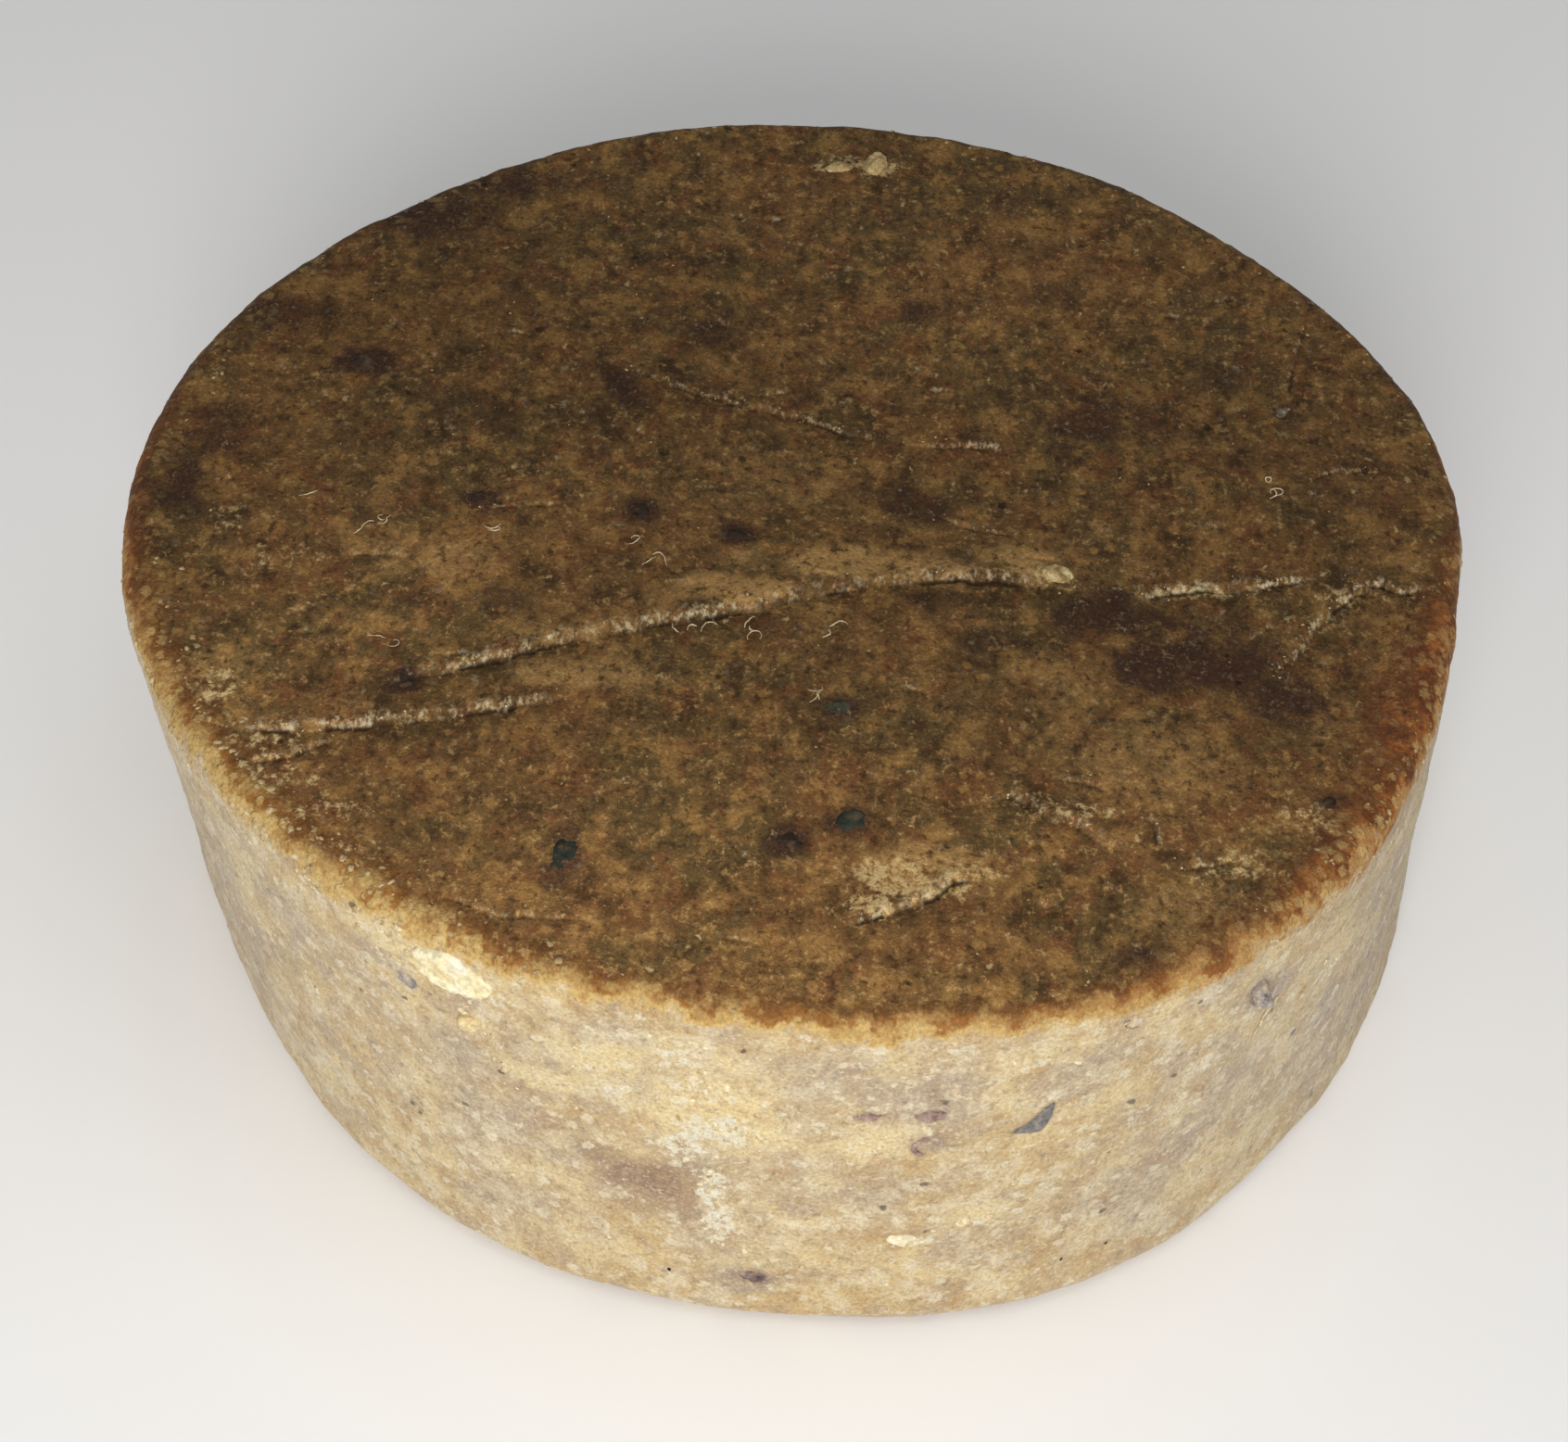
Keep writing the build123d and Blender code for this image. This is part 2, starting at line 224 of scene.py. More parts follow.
# How each kind of inclusion lies in the soap, by material slot.
Seat = namedtuple("Seat", "pressed dome rough finest gap stain")
SEATS = {
    "butter": Seat(0.08, 0.16, 0.13, 0.17, 0.05, 0.0),
    "char": Seat(0.13, 0.17, 0.10, 0.13, 0.0, 0.95),
    "leaf": Seat(0.13, 0.12, 0.07, 0.13, 0.0, 0.75),
    "slate": Seat(0.10, 0.03, 0.03, 0.2, 0.35, 0.0),
    "husk": Seat(0.06, 0.08, 0.06, 0.13, 0.3, 0.0),
    "grit": Seat(0.14, 0.14, 0.12, 0.13, 0.4, 0.3),
}

ALONG_RIM = np.array((0.75, 0.9, 1.4))  # draws noise out along X on the top, along the rim on the wall


# =============================================================================
# Smooth random fields
# =============================================================================


class Field:
    """A smooth random field in three dimensions, about -1 to 1, the same on every run."""

    SIZE = 48

    def __init__(self, seed):
        self.lattice = np.random.default_rng(seed).uniform(-1, 1, (self.SIZE,) * 3)

    def at(self, places):
        cell = np.floor(places).astype(int)
        part = places - cell
        x, y, z = (part * part * (3 - 2 * part)).T
        i, j, k = (cell % self.SIZE).T
        i2, j2, k2 = (i + 1) % self.SIZE, (j + 1) % self.SIZE, (k + 1) % self.SIZE
        grid = self.lattice
        near = grid[i, j, k] * (1 - x) + grid[i2, j, k] * x
        near = near * (1 - y) + (grid[i, j2, k] * (1 - x) + grid[i2, j2, k] * x) * y
        far = grid[i, j, k2] * (1 - x) + grid[i2, j, k2] * x
        far = far * (1 - y) + (grid[i, j2, k2] * (1 - x) + grid[i2, j2, k2] * x) * y
        return near * (1 - z) + far * z

    def layered(self, places, octaves=4, gain=0.5):
        """Several sizes of the field added together, still about -1 to 1."""
        total, share, whole = np.zeros(len(places)), 1.0, 0.0
        for _ in range(octaves):
            total += share * self.at(places)
            whole += share
            places = places * 2.03 + 7.7
            share *= gain
        return 1.6 * total / whole


def smooth(value, low, high):
    """0 at low, 1 at high, with soft ends."""
    share = np.clip((value - low) / (high - low), 0, 1)
    return share * share * (3 - 2 * share)


# =============================================================================
# The soap body's surface
# =============================================================================


def cad_outline(level):
    """The CAD wall's distance from the axis at one height, as a function of angle in radians."""
    cad = frame["nodes"]["soap_body"]
    places, faces = [v.co for v in cad.data.vertices], [p.vertices for p in cad.data.polygons]
    tree = BVHTree.FromPolygons(places, faces)
    samples, harmonics = 720, 14
    turns = np.arange(samples) * 2 * np.pi / samples
    start = Vector((0, 0, level * MM))
    reach = [(tree.ray_cast(start, Vector((cos(t), sin(t), 0)))[0] - start).length / MM for t in turns]
    waves = np.fft.rfft(reach)[:harmonics] / samples

    def outline(angle):
        total = np.full(np.shape(angle), waves[0].real)
        for k in range(1, harmonics):
            total = total + 2 * (waves[k].real * np.cos(k * angle) - waves[k].imag * np.sin(k * angle))
        return total

    return outline


LOW_LEVEL, HIGH_LEVEL = 5.5, 12.0
low_outline, high_outline = cad_outline(LOW_LEVEL), cad_outline(HIGH_LEVEL)


def wall_radius(angle, height):
    """The drafted wall runs straight from the base outline to the rim outline."""
    share = (height - LOW_LEVEL) / (HIGH_LEVEL - LOW_LEVEL)
    low, high = low_outline(angle), high_outline(angle)
    return low + (high - low) * share


def arc_rings(radius, level, upward):
    """(inset, height) down a quarter-round edge."""
    count = round(radius * np.pi / 2 / ROUND_STEP)
    tilts = [np.pi / 2 * k / count for k in range(count + 1)]
    if upward:
        return [(radius * (1 - sin(t)), level - radius * (1 - cos(t)), ROUND_STEP) for t in tilts]
    return [(radius * (1 - cos(t)), level + radius * (1 - sin(t)), ROUND_STEP) for t in tilts]


def ring_list():
    """Rings from the top's middle to the base's: (share of the outline, inset, height, point spacing)."""
    rings = []
    count = round((RADIUS - RIM_ROUND) / TOP_STEP)
    rings += [(k / count, RIM_ROUND, HEIGHT, TOP_STEP) for k in range(1, count)]
    rings += [(1, *edge) for edge in arc_rings(RIM_ROUND, HEIGHT, True)]
    count = round((HEIGHT - RIM_ROUND - BASE_ROUND) / WALL_STEP)
    levels = np.linspace(HEIGHT - RIM_ROUND, BASE_ROUND, count + 1)[1:-1]
    rings += [(1, 0, level, WALL_STEP) for level in levels]
    rings += [(1, *edge) for edge in arc_rings(BASE_ROUND, 0, False)]
    count = round((RADIUS - BASE_ROUND) / BASE_STEP)
    rings += [(1 - k / count, BASE_ROUND, 0, BASE_STEP) for k in range(1, count)]
    return rings


def stitch(faces, first, first_count, second, second_count):
    """Triangles between two rings, walking round both at once. A ring of one point is a middle."""
    i, j = int(first_count == 1), int(second_count == 1)
    while i < first_count or j < second_count:
        a, b = first + i % first_count, second + j % second_count
        if j >= second_count or (i < first_count and (i + 1) * second_count <= (j + 1) * first_count):
            faces.append((a, b, first + (i + 1) % first_count))
            i += 1
        else:
            faces.append((a, b, second + (j + 1) % second_count))
            j += 1


def plain_puck():
    """The smooth pressed shape as points and triangles."""
    points, faces = [(0.0, 0.0, HEIGHT)], []
    previous, previous_count = 0, 1
    for share, inset, level, spacing in ring_list():
        count = max(6, round(2 * np.pi * RADIUS * share / spacing))
        turns = np.arange(count) * 2 * np.pi / count
        reach = share * (wall_radius(turns, level) - inset)
        ring = np.column_stack((reach * np.cos(turns), reach * np.sin(turns), np.full(count, level)))
        start = len(points)
        points.extend(map(tuple, ring))
        stitch(faces, previous, previous_count, start, count)
        previous, previous_count = start, count
    points.append((0.0, 0.0, 0.0))
    stitch(faces, previous, previous_count, len(points) - 1, 1)
    return points, faces


def along_path(places, path):
    """Each place's signed distance from a line, positive on the left, and its share of the length."""
    path = np.array(path, float)
    legs = path[1:] - path[:-1]
    lengths = np.hypot(*legs.T)
    starts = np.concatenate(([0], np.cumsum(lengths)))
    nearest = np.full(len(places), 1e9)
    signed, share = np.zeros(len(places)), np.zeros(len(places))
    for start, leg, length, before in zip(path, legs, lengths, starts):
        offset = places - start
        t = np.clip(offset @ leg / length**2, 0, 1)
        gap = offset - t[:, None] * leg
        distance = np.hypot(*gap.T)
        closer = distance < nearest
        nearest = np.where(closer, distance, nearest)
        left = np.sign(leg[0] * offset[:, 1] - leg[1] * offset[:, 0])
        signed = np.where(closer, left * distance, signed)
        share = np.where(closer, (before + t * length) / starts[-1], share)
    return signed, share


def rounded_path(path, cuts=5):
    """The same route as a smooth curve through its points."""
    if len(path) < 3:
        return path
    p = np.array(path, float)
    p = np.vstack((2 * p[0] - p[1], p, 2 * p[-1] - p[-2]))
    route = []
    for a, b, c, d in zip(p, p[1:], p[2:], p[3:]):
        for t in np.arange(cuts) / cuts:
            route.append(0.5 * (2 * b + (c - a) * t + (2 * a - 5 * b + 4 * c - d) * t**2
                                + (3 * b - a - 3 * c + d) * t**3))
    return np.array(route + [p[-2]])


def near_box(places, path, reach):
    """Which places lie inside the path's box, grown by reach."""
    path = np.array(path)
    low, high = path.min(axis=0) - reach, path.max(axis=0) + reach
    return np.nonzero(np.all((places > low) & (places < high), axis=1))[0]


def random_creases(seed, count, inside, bounds, lengths, angle_spread, rises):
    """Short creases scattered over a region, each like a fold: points, rise, reach and paleness."""
    rng = np.random.default_rng(seed)
    creases = []
    while len(creases) < count:
        centre = rng.uniform(*bounds)
        if not inside(*centre):
            continue
        angle = rng.normal(radians(4), radians(angle_spread))
        half = rng.uniform(*lengths) / 2
        bend = rng.normal(0, 0.18) * half
        along = np.array((cos(angle), sin(angle)))
        across = np.array((-sin(angle), cos(angle)))
        path = (centre - along * half, centre + across * bend, centre + along * half)
        creases.append((path, rng.uniform(*rises), rng.uniform(0.35, 0.8), rng.uniform(0.1, 0.75)))
    return creases


def inside_top(x, y):
    return x * x + y * y < 35.5**2


def on_wall_band(_, height):
    return 2.5 < height < HEIGHT - 2.0


TOP_CREASES = random_creases(11, 190, inside_top, ((-36, -36), (36, 36)), (0.5, 2.3), 20, (0.04, 0.13))
WALL_CREASES = random_creases(
    23, 420, on_wall_band, ((-118, 2), (118, HEIGHT)), (0.6, 3.2), 15, (0.03, 0.12)
)


class Skin:
    """The soap's surface points, with the relief and the colour masks gathered for each of them."""

    MASKS = (
        "edge", "reddish", "lip", "crevice", "shade", "blotch", "glow", "cream",
        "butter", "grey", "rust", "bloom", "golden", "crumbly", "tone",
    )

    def __init__(self, points, normals):
        self.points = points
        self.normals = normals
        x, y, z = points.T
        self.angle = np.degrees(np.arctan2(y, x)) % 360
        turn = (self.angle - FRONT + 180) % 360 - 180
        self.wall = np.column_stack((np.radians(turn) * RADIUS, z))
        self.top = points[:, :2]
        self.on_top = smooth(normals[:, 2], 0.35, 0.8)
        self.on_wall = 1 - smooth(np.abs(normals[:, 2]), 0.4, 0.9)
        self.under = smooth(-normals[:, 2], 0.3, 0.9)
        self.ragged = Field(3).layered(points * 1.3, 3, 0.6)
        self.broken = Field(4).layered(points * 0.5, 3, 0.6)
        self.relief = np.zeros(len(points))
        self.masks = {name: np.zeros(len(points)) for name in self.MASKS}
        self.masks["tone"] += 1

    def stain(self, name, which, amount):
        """Strengthens a mask, never past 1."""
        mask = self.masks[name]
        mask[which] = np.clip(np.maximum(mask[which], amount), 0, 1)


def fold(skin, places, share_here, path, rise, back, paleness):
    """One lap of soap: it rises behind the path, drops over a worn lip, and leaves a crevice in front.
    The lip's pale colour is partly worn soap and partly painted highlight; the crevice line and the shade
    in front of it are painted shade.
    """
    near = near_box(places, path, back * 2.5 + 0.6)
    near = near[share_here[near] > 0.02]
    if not len(near):
        return
    distance, share = along_path(places[near], rounded_path(path))
    distance = distance + skin.ragged[near] * min(0.16, 0.3 * back)
    ends = smooth(share, -0.02, 0.2) * (1 - smooth(share, 0.8, 1.02)) * share_here[near]
    ends = ends * (1 - smooth(np.abs(distance), 1.7 * back, 2.5 * back))
    drop, slit_width = 0.12, 0.12  # how steeply the lap falls off, and how wide the crevice is
    behind = 1 / (1 + np.exp(-distance / drop))
    crest = rise * behind * np.exp(-np.maximum(distance, 0) / back)
    trough = -0.35 * rise * (1 - behind) * np.exp(np.minimum(distance, 0) / 0.9)
    slit = -(0.06 + 0.2 * rise) * np.exp(-(((distance + 0.15) / slit_width) ** 2))
    skin.relief[near] += ends * (crest + trough + slit)
    whole = smooth(skin.broken[near], -0.6, 0.2)  # the lip and the crevice fade out here and there
    # the lip mask: pale, partly worn soap and partly painted highlight on the step's lit face
    lip = paleness * behind * np.exp(-np.maximum(distance, 0) / (0.1 + 0.5 * rise))
    skin.stain("lip", near, ends * lip * (0.5 + 0.5 * whole))
    # the crevice mask: painted shadow along the slit
    depth = min(0.8, 0.35 + 1.3 * rise) * (0.15 + 0.85 * whole)
    skin.stain("crevice", near, ends * depth * np.exp(-(((distance + 0.16) / slit_width) ** 2)))
    # the shade mask: painted shade in front of the lip, with some stain
    under_lip = (1 - behind) * np.exp(np.minimum(distance, 0) / (0.3 + 1.5 * rise))
    skin.stain("shade", near, ends * min(1, 2.2 * rise) * under_lip)


def patch(skin, name, places, share_here, centre, half_length, half_width, strength, ragged):
    """Fills a mask over one soft-edged ragged patch."""
    near = near_box(places, (centre, centre), max(half_length, half_width) * 1.9)
    offset = (places[near] - centre) / (half_length, half_width)
    edge = np.hypot(*offset.T) + 0.55 * ragged[near]
    skin.stain(name, near, strength * (1 - smooth(edge, 0.35, 1.35)) * share_here[near])


def arc_of(angle):
    """The arc length along the wall from the front to an angle."""
    return radians((angle - FRONT + 180) % 360 - 180) * RADIUS


def pits(skin, places, share_here, seed, count, bounds, sizes):
    """Small holes where crumbs broke out, with painted shade inside and a pale rim that is partly painted
    highlight.
    """
    rng = np.random.default_rng(seed)
    for _ in range(count):
        centre = rng.uniform(*bounds)
        size = rng.uniform(*sizes)
        near = near_box(places, (centre, centre), size * 2.2)
        if not len(near):
            continue
        distance = np.hypot(*((places[near] - centre) * (1, 1.3)).T) / size
        bowl = np.exp(-(distance**2.4)) * share_here[near]
        skin.relief[near] -= 0.55 * size * bowl
        skin.stain("crevice", near, 0.55 * np.exp(-((distance / 0.7) ** 2)) * share_here[near])
        skin.stain("lip", near, 0.35 * np.exp(-(((distance - 1.15) / 0.25) ** 2)) * share_here[near])


def pressed_relief(skin):
    """The uneven pressing and the large folds: what an inclusion rides up and down with."""
    flat = skin.points * ALONG_RIM
    skin.relief += 0.22 * Field(5).layered(skin.points * 0.075, 3, 0.5) * (1 - skin.under)
    skin.relief += 0.1 * Field(7).layered(flat * 0.33, 4, 0.55) * (1 - 0.6 * skin.under)
    for path, rise, back, paleness in TOP_FOLDS:
        fold(skin, skin.top, skin.on_top, path, rise, back, paleness)


def shape_skin(skin):
    """Adds every relief and fills every mask."""
    p, top, wall = skin.points, skin.top, skin.wall
    pressed_relief(skin)
    skin.relief += 0.045 * Field(9).layered(p * ALONG_RIM * 1.25, 4, 0.62)
    crumbly = np.interp(skin.angle, list(RIM_CRUMBS), list(RIM_CRUMBS.values()))
    crumbly = crumbly * np.exp(-((np.maximum(rim_distance(skin), 0) / 2.2) ** 2)) * (1 - skin.under)
    crumbly = crumbly * smooth(np.abs(rim_distance(skin)), 4.0, 0.4)
    skin.stain("crumbly", slice(None), crumbly)
    skin.relief += 0.075 * crumbly * Field(15).layered(p * 1.7, 3, 0.6)
    for path, rise, back, paleness in TOP_CREASES:
        fold(skin, top, skin.on_top, path, rise, back, paleness)
    for path, rise, back, paleness in WALL_CREASES:
        fold(skin, wall, skin.on_wall, path, rise, back, 0.8 * paleness)
    pits(skin, top, skin.on_top, 31, 90, ((-36, -36), (36, 36)), (0.15, 0.45))
    pits(skin, wall, skin.on_wall, 37, 110, ((-118, 2), (118, 25)), (0.15, 0.4))

    blot = Field(13).layered(p * 0.55, 4, 0.6)
    for name, patches in (("blotch", TOP_BLOTCHES), ("glow", TOP_GLOWS), ("cream", TOP_CREAM)):
        for x, y, length, width, strength in patches:
            patch(skin, name, top, skin.on_top, (x, y), length, width, strength, blot)
    wall_patches = {"butter": WALL_BUTTER, "grey": WALL_GREY, "rust": WALL_RUST, "bloom": WALL_BLOOM}
    for name, patches in wall_patches.items():
        for angle, height, length, width, strength in patches:
            patch(skin, name, wall, skin.on_wall, (arc_of(angle), height), length, width, strength, blot)
    edge_bands(skin, blot)

    # the tone mask; its broad lift towards the front edge is painted light
    for x, y, length, width, change in TOP_TONES:
        offset = (top - (x, y)) / (length, width)
        skin.masks["tone"] += change * np.exp(-(offset**2).sum(axis=1))
    near_rim = np.interp(skin.angle, list(RIM_GOLD), list(RIM_GOLD.values()))
    golden = smooth(rim_distance(skin), -6.0, -0.4) * near_rim + 0.45 * smooth(p[:, 2], 6.0, 1.0)
    skin.stain("golden", slice(None), golden * skin.on_wall)


def even_out(skin, faces):
    """Evens the relief and the lip's colour between neighbouring points, where a fold is steep."""
    corners = np.array(faces)
    start, end = corners.ravel(), np.roll(corners, -1, axis=1).ravel()
    neighbours = np.bincount(start, minlength=len(skin.points))
    steep = np.clip(skin.masks["lip"] + skin.masks["crevice"] + skin.masks["shade"], 0, 1)
    for values in (skin.relief, skin.masks["lip"]):
        mean = np.bincount(start, values[end], len(values)) / neighbours
        values += 0.5 * steep * (mean - values)


def rim_distance(skin):
    """Distance from the worn edge, over the surface: positive on the top, negative on the wall."""
    x, y, z = skin.points.T
    inward = wall_radius(np.radians(skin.angle), z) - RIM_ROUND - np.hypot(x, y)
    tilt = np.arccos(np.clip(skin.normals[:, 2], -1, 1))
    below = np.maximum(HEIGHT - RIM_ROUND - z, 0)
    return np.where(inward > 0, inward + RIM_ROUND * np.pi / 4, RIM_ROUND * (np.pi / 4 - tilt) - below)


def edge_bands(skin, blot):
    """Where each point lies across the amber band, a painted glow along the rim: 0 at its outer edge, 1
    at its inner, from -2 to 3.
    """
    width = np.interp(skin.angle, list(AMBER_WIDTH), list(AMBER_WIDTH.values()), period=360)
    over = np.interp(skin.angle, list(BROWN_OVER_EDGE), list(BROWN_OVER_EDGE.values()), period=360)
    reddish = np.interp(skin.angle, list(EDGE_REDNESS), list(EDGE_REDNESS.values()), period=360)
    past_edge = rim_distance(skin) + over
    skin.masks["reddish"] = reddish
    top_edge = (past_edge + 0.3 * skin.ragged) / width + 0.3 * blot
    under_edge = (smooth(-skin.normals[:, 2], 0.3, 1) - 0.75) * 9 + 0.5 * skin.ragged
    skin.masks["edge"] = np.clip(np.maximum(top_edge, np.where(skin.under > 0, under_edge, -9)), -2, 3)


def refine(mesh_points, faces, spots):
    """Cuts the triangles near folds, creases and inclusions finer: new points, normals and faces."""
    bm = bmesh.new()
    for point in mesh_points:
        bm.verts.new(point)
    bm.verts.ensure_lookup_table()
    for face in faces:
        bm.faces.new([bm.verts[i] for i in face])
    for reach in (FINE_REACH, FINEST_REACH):
        bm.edges.ensure_lookup_table()
        middles = np.array([(e.verts[0].co + e.verts[1].co) / 2 for e in bm.edges])
        is_top = middles[:, 2] > HEIGHT - 0.02
        chosen = np.zeros(len(middles), bool)
        for path, rise, *_ in TOP_FOLDS + tuple(TOP_CREASES):
            if rise < 0.1:
                continue
            near = near_box(middles[:, :2], path, reach)
            distance, _ = along_path(middles[near, :2], rounded_path(path))
            chosen[near] |= (np.abs(distance) < reach) & is_top[near]
        for centre, size in spots:
            chosen |= np.linalg.norm(middles - centre, axis=1) < size + reach
        cut = [bm.edges[i] for i in np.nonzero(chosen)[0]]
        bmesh.ops.subdivide_edges(bm, edges=cut, cuts=1, use_grid_fill=True)
        bmesh.ops.triangulate(bm, faces=[f for f in bm.faces if len(f.verts) > 3])
    bm.normal_update()
    bm.verts.ensure_lookup_table()
    points = np.array([v.co for v in bm.verts])
    normals = np.array([v.normal for v in bm.verts])
    bm.verts.index_update()
    faces = [[v.index for v in f.verts] for f in bm.faces]
    bm.free()
    return points, normals, faces


def new_piece(name, points, faces, material, slot, *replaces):
    """Makes one shown piece, in metres, riding on the root body."""
    mesh = bpy.data.meshes.new(name)
    mesh.from_pydata((np.asarray(points) * MM).tolist(), [], faces)
    mesh.update()
    mesh.shade_smooth()
    mesh.materials.append(material)
    piece = bpy.data.objects.new(name, mesh)
    bpy.context.scene.collection.objects.link(piece)
    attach(piece, "root")
    if replaces:
        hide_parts(*replaces)
    return piece


# =============================================================================
# Materials
# =============================================================================


class Graph:
    """Short names for the shader nodes that the materials here use."""

    def __init__(self, name, roughness=0.6, specular=0.35):
        self.material = bpy.data.materials.new(name)
        self.material.use_nodes = True
        self.tree = self.material.node_tree
        self.shader = self.tree.nodes["Principled BSDF"]
        self.shader.inputs["Roughness"].default_value = roughness
        self.shader.inputs["Specular IOR Level"].default_value = specular
        self.where = self.tree.nodes.new("ShaderNodeTexCoord").outputs["Object"]

    def node(self, kind, **settings):
        made = self.tree.nodes.new(kind)
        for name, value in settings.items():
            setattr(made, name, value)
        return made

    def feed(self, socket, value):
        """Links a socket, or sets a plain value."""
        if isinstance(value, bpy.types.NodeSocket):
            self.tree.links.new(value, socket)
        elif isinstance(value, tuple) and socket.type == "RGBA":
            socket.default_value = (*value, 1)
        else:
            socket.default_value = value

    def mask(self, name):
        return self.node("ShaderNodeAttribute", attribute_name=name).outputs["Fac"]

    def place(self, stretch=(1, 1, 1), shift=0.0):
        """The place on the part in millimetres, stretched and moved."""
        mapping = self.node("ShaderNodeMapping")
        mapping.inputs["Scale"].default_value = [s / MM for s in stretch]
        mapping.inputs["Location"].default_value = (shift, 0.7 * shift, 0.3 * shift)
        self.feed(mapping.inputs["Vector"], self.where)
        return mapping.outputs["Vector"]

    def noise(self, per_mm, place, detail, rough):
        made = self.node("ShaderNodeTexNoise")
        made.inputs["Scale"].default_value = per_mm
        made.inputs["Detail"].default_value = detail
        made.inputs["Roughness"].default_value = rough
        self.feed(made.inputs["Vector"], place)
        return made

    def grain(self, per_mm, stretch=(1, 1, 1), detail=4, rough=0.6, shift=0.0):
        """Noise with this many blobs to the millimetre, 0 to 1 about 0.5."""
        return self.noise(per_mm, self.place(stretch, shift), detail, rough).outputs["Fac"]

    def scraps(self, per_mm, share, size, stretch=(1, 1, 1), shift=0.0, ragged=0.8, soft=0.55):
        """Scattered ragged scraps: this share of the cells holds one, about this size in cells."""
        place = self.place(stretch, shift)
        wander = self.noise(2.2 * per_mm, place, 3, 0.6).outputs["Color"]
        moved = self.node("ShaderNodeVectorMath", operation="MULTIPLY_ADD")
        self.feed(moved.inputs[0], wander)
        moved.inputs[1].default_value = (ragged / per_mm,) * 3
        self.feed(moved.inputs[2], place)
        voronoi = self.node("ShaderNodeTexVoronoi")
        voronoi.inputs["Scale"].default_value = per_mm
        self.feed(voronoi.inputs["Vector"], moved.outputs["Vector"])
        chance = self.node("ShaderNodeSeparateColor")
        self.feed(chance.inputs["Color"], voronoi.outputs["Color"])
        reach = self.calc("MULTIPLY", self.calc("ADD", chance.outputs["Green"], 0.4), size)
        inside = self.span(self.calc("DIVIDE", voronoi.outputs["Distance"], reach), 1.0, soft)
        return self.calc("MULTIPLY", inside, self.calc("LESS_THAN", chance.outputs["Red"], share))

    def span(self, value, low, high, out_low=0.0, out_high=1.0):
        """Maps low..high onto out_low..out_high, with soft ends."""
        made = self.node("ShaderNodeMapRange", interpolation_type="SMOOTHSTEP")
        ends = {"From Min": low, "From Max": high, "To Min": out_low, "To Max": out_high}
        for name, number in ends.items():
            made.inputs[name].default_value = number
        self.feed(made.inputs["Value"], value)
        return made.outputs["Result"]

    def calc(self, operation, a, b=0.0):
        made = self.node("ShaderNodeMath", operation=operation)
        self.feed(made.inputs[0], a)
        self.feed(made.inputs[1], b)
        return made.outputs[0]

    def blend(self, share, a, b, mode="MIX"):
        made = self.node("ShaderNodeMix", data_type="RGBA", blend_type=mode)
        factor, first, second = (made.inputs[i] for i in (0, 6, 7))  # its sockets for colours
        self.feed(factor, share)
        self.feed(first, a)
        self.feed(second, b)
        return made.outputs[2]

    def over(self, colour, tint, grain, low, high, share=1.0):
        """Lays a tint over a colour, to this share where the grain has passed from low to high."""
        return self.blend(self.span(grain, low, high, 0, share), colour, tint)

    def patchy(self, mask, grain, low, high, least, most):
        """A mask that the grain weakens: it keeps between the least and the most of its strength."""
        return self.calc("MULTIPLY", self.mask(mask), self.span(grain, low, high, least, most))

    def frayed(self, mask, grain, less, more):
        """A mask that the grain lowers or raises by these amounts, so that its edge is ragged."""
        return self.calc("ADD", self.mask(mask), self.span(grain, 0.35, 0.65, less, more))

    def brightness(self, colour, value):
        """Multiplies a colour by a number."""
        made = self.node("ShaderNodeVectorMath", operation="SCALE")
        self.feed(made.inputs[0], colour)
        self.feed(made.inputs["Scale"], value)
        return made.outputs["Vector"]

    def finish(self, colour, height=None, bump=0.4, distance=0.1, roughness=None):
        self.feed(self.shader.inputs["Base Color"], colour)
        if roughness is not None:
            self.feed(self.shader.inputs["Roughness"], roughness)
        if height is not None:
            made = self.node("ShaderNodeBump")
            made.inputs["Strength"].default_value = bump
            made.inputs["Distance"].default_value = distance * MM
            self.feed(made.inputs["Height"], height)
            self.feed(self.shader.inputs["Normal"], made.outputs["Normal"])
        return self.material


# Albedos, in linear light.
BROWN, OLIVE, RUSSET = (0.124, 0.063, 0.022), (0.086, 0.052, 0.019), (0.126, 0.052, 0.019)
DARK_BROWN, AMBER_BROWN, FLECK = (0.037, 0.020, 0.008), (0.236, 0.127, 0.039), (0.42, 0.31, 0.15)
STAIN, SHADE, GLOW = (0.034, 0.016, 0.011), (0.048, 0.028, 0.0115), (0.36, 0.21, 0.074)
# the amber band along the rim: painted glow of light shining through the soap's thin edge
EMBER, AMBER, HONEY_EDGE = (0.150, 0.058, 0.016), (0.30, 0.130, 0.032), (0.53, 0.36, 0.135)
MAROON, ORANGE = (0.115, 0.034, 0.013), (0.35, 0.122, 0.030)
TAN, HONEY, CREAM = (0.475, 0.36, 0.213), (0.50, 0.36, 0.178), (0.65, 0.55, 0.37)
BUTTER, LAVENDER, ASH = (0.69, 0.55, 0.29), (0.345, 0.275, 0.22), (0.66, 0.61, 0.47)
RUST = (0.25, 0.155, 0.10)
UMBER, ORANGE_TAN, CRUMB = (0.24, 0.16, 0.10), (0.41, 0.255, 0.115), (0.68, 0.60, 0.43)
GOLDEN, TORN = (0.53, 0.365, 0.15), (0.41, 0.305, 0.145)
# pale fold lips, partly torn soap and partly painted highlight; painted shade for the crevices on the top
# and the wall
LIP_AND_HIGHLIGHT, SLIT_SHADE, WALL_SLIT_SHADE = (0.62, 0.52, 0.33), (0.020, 0.010, 0.004), (0.16, 0.105, 0.065)


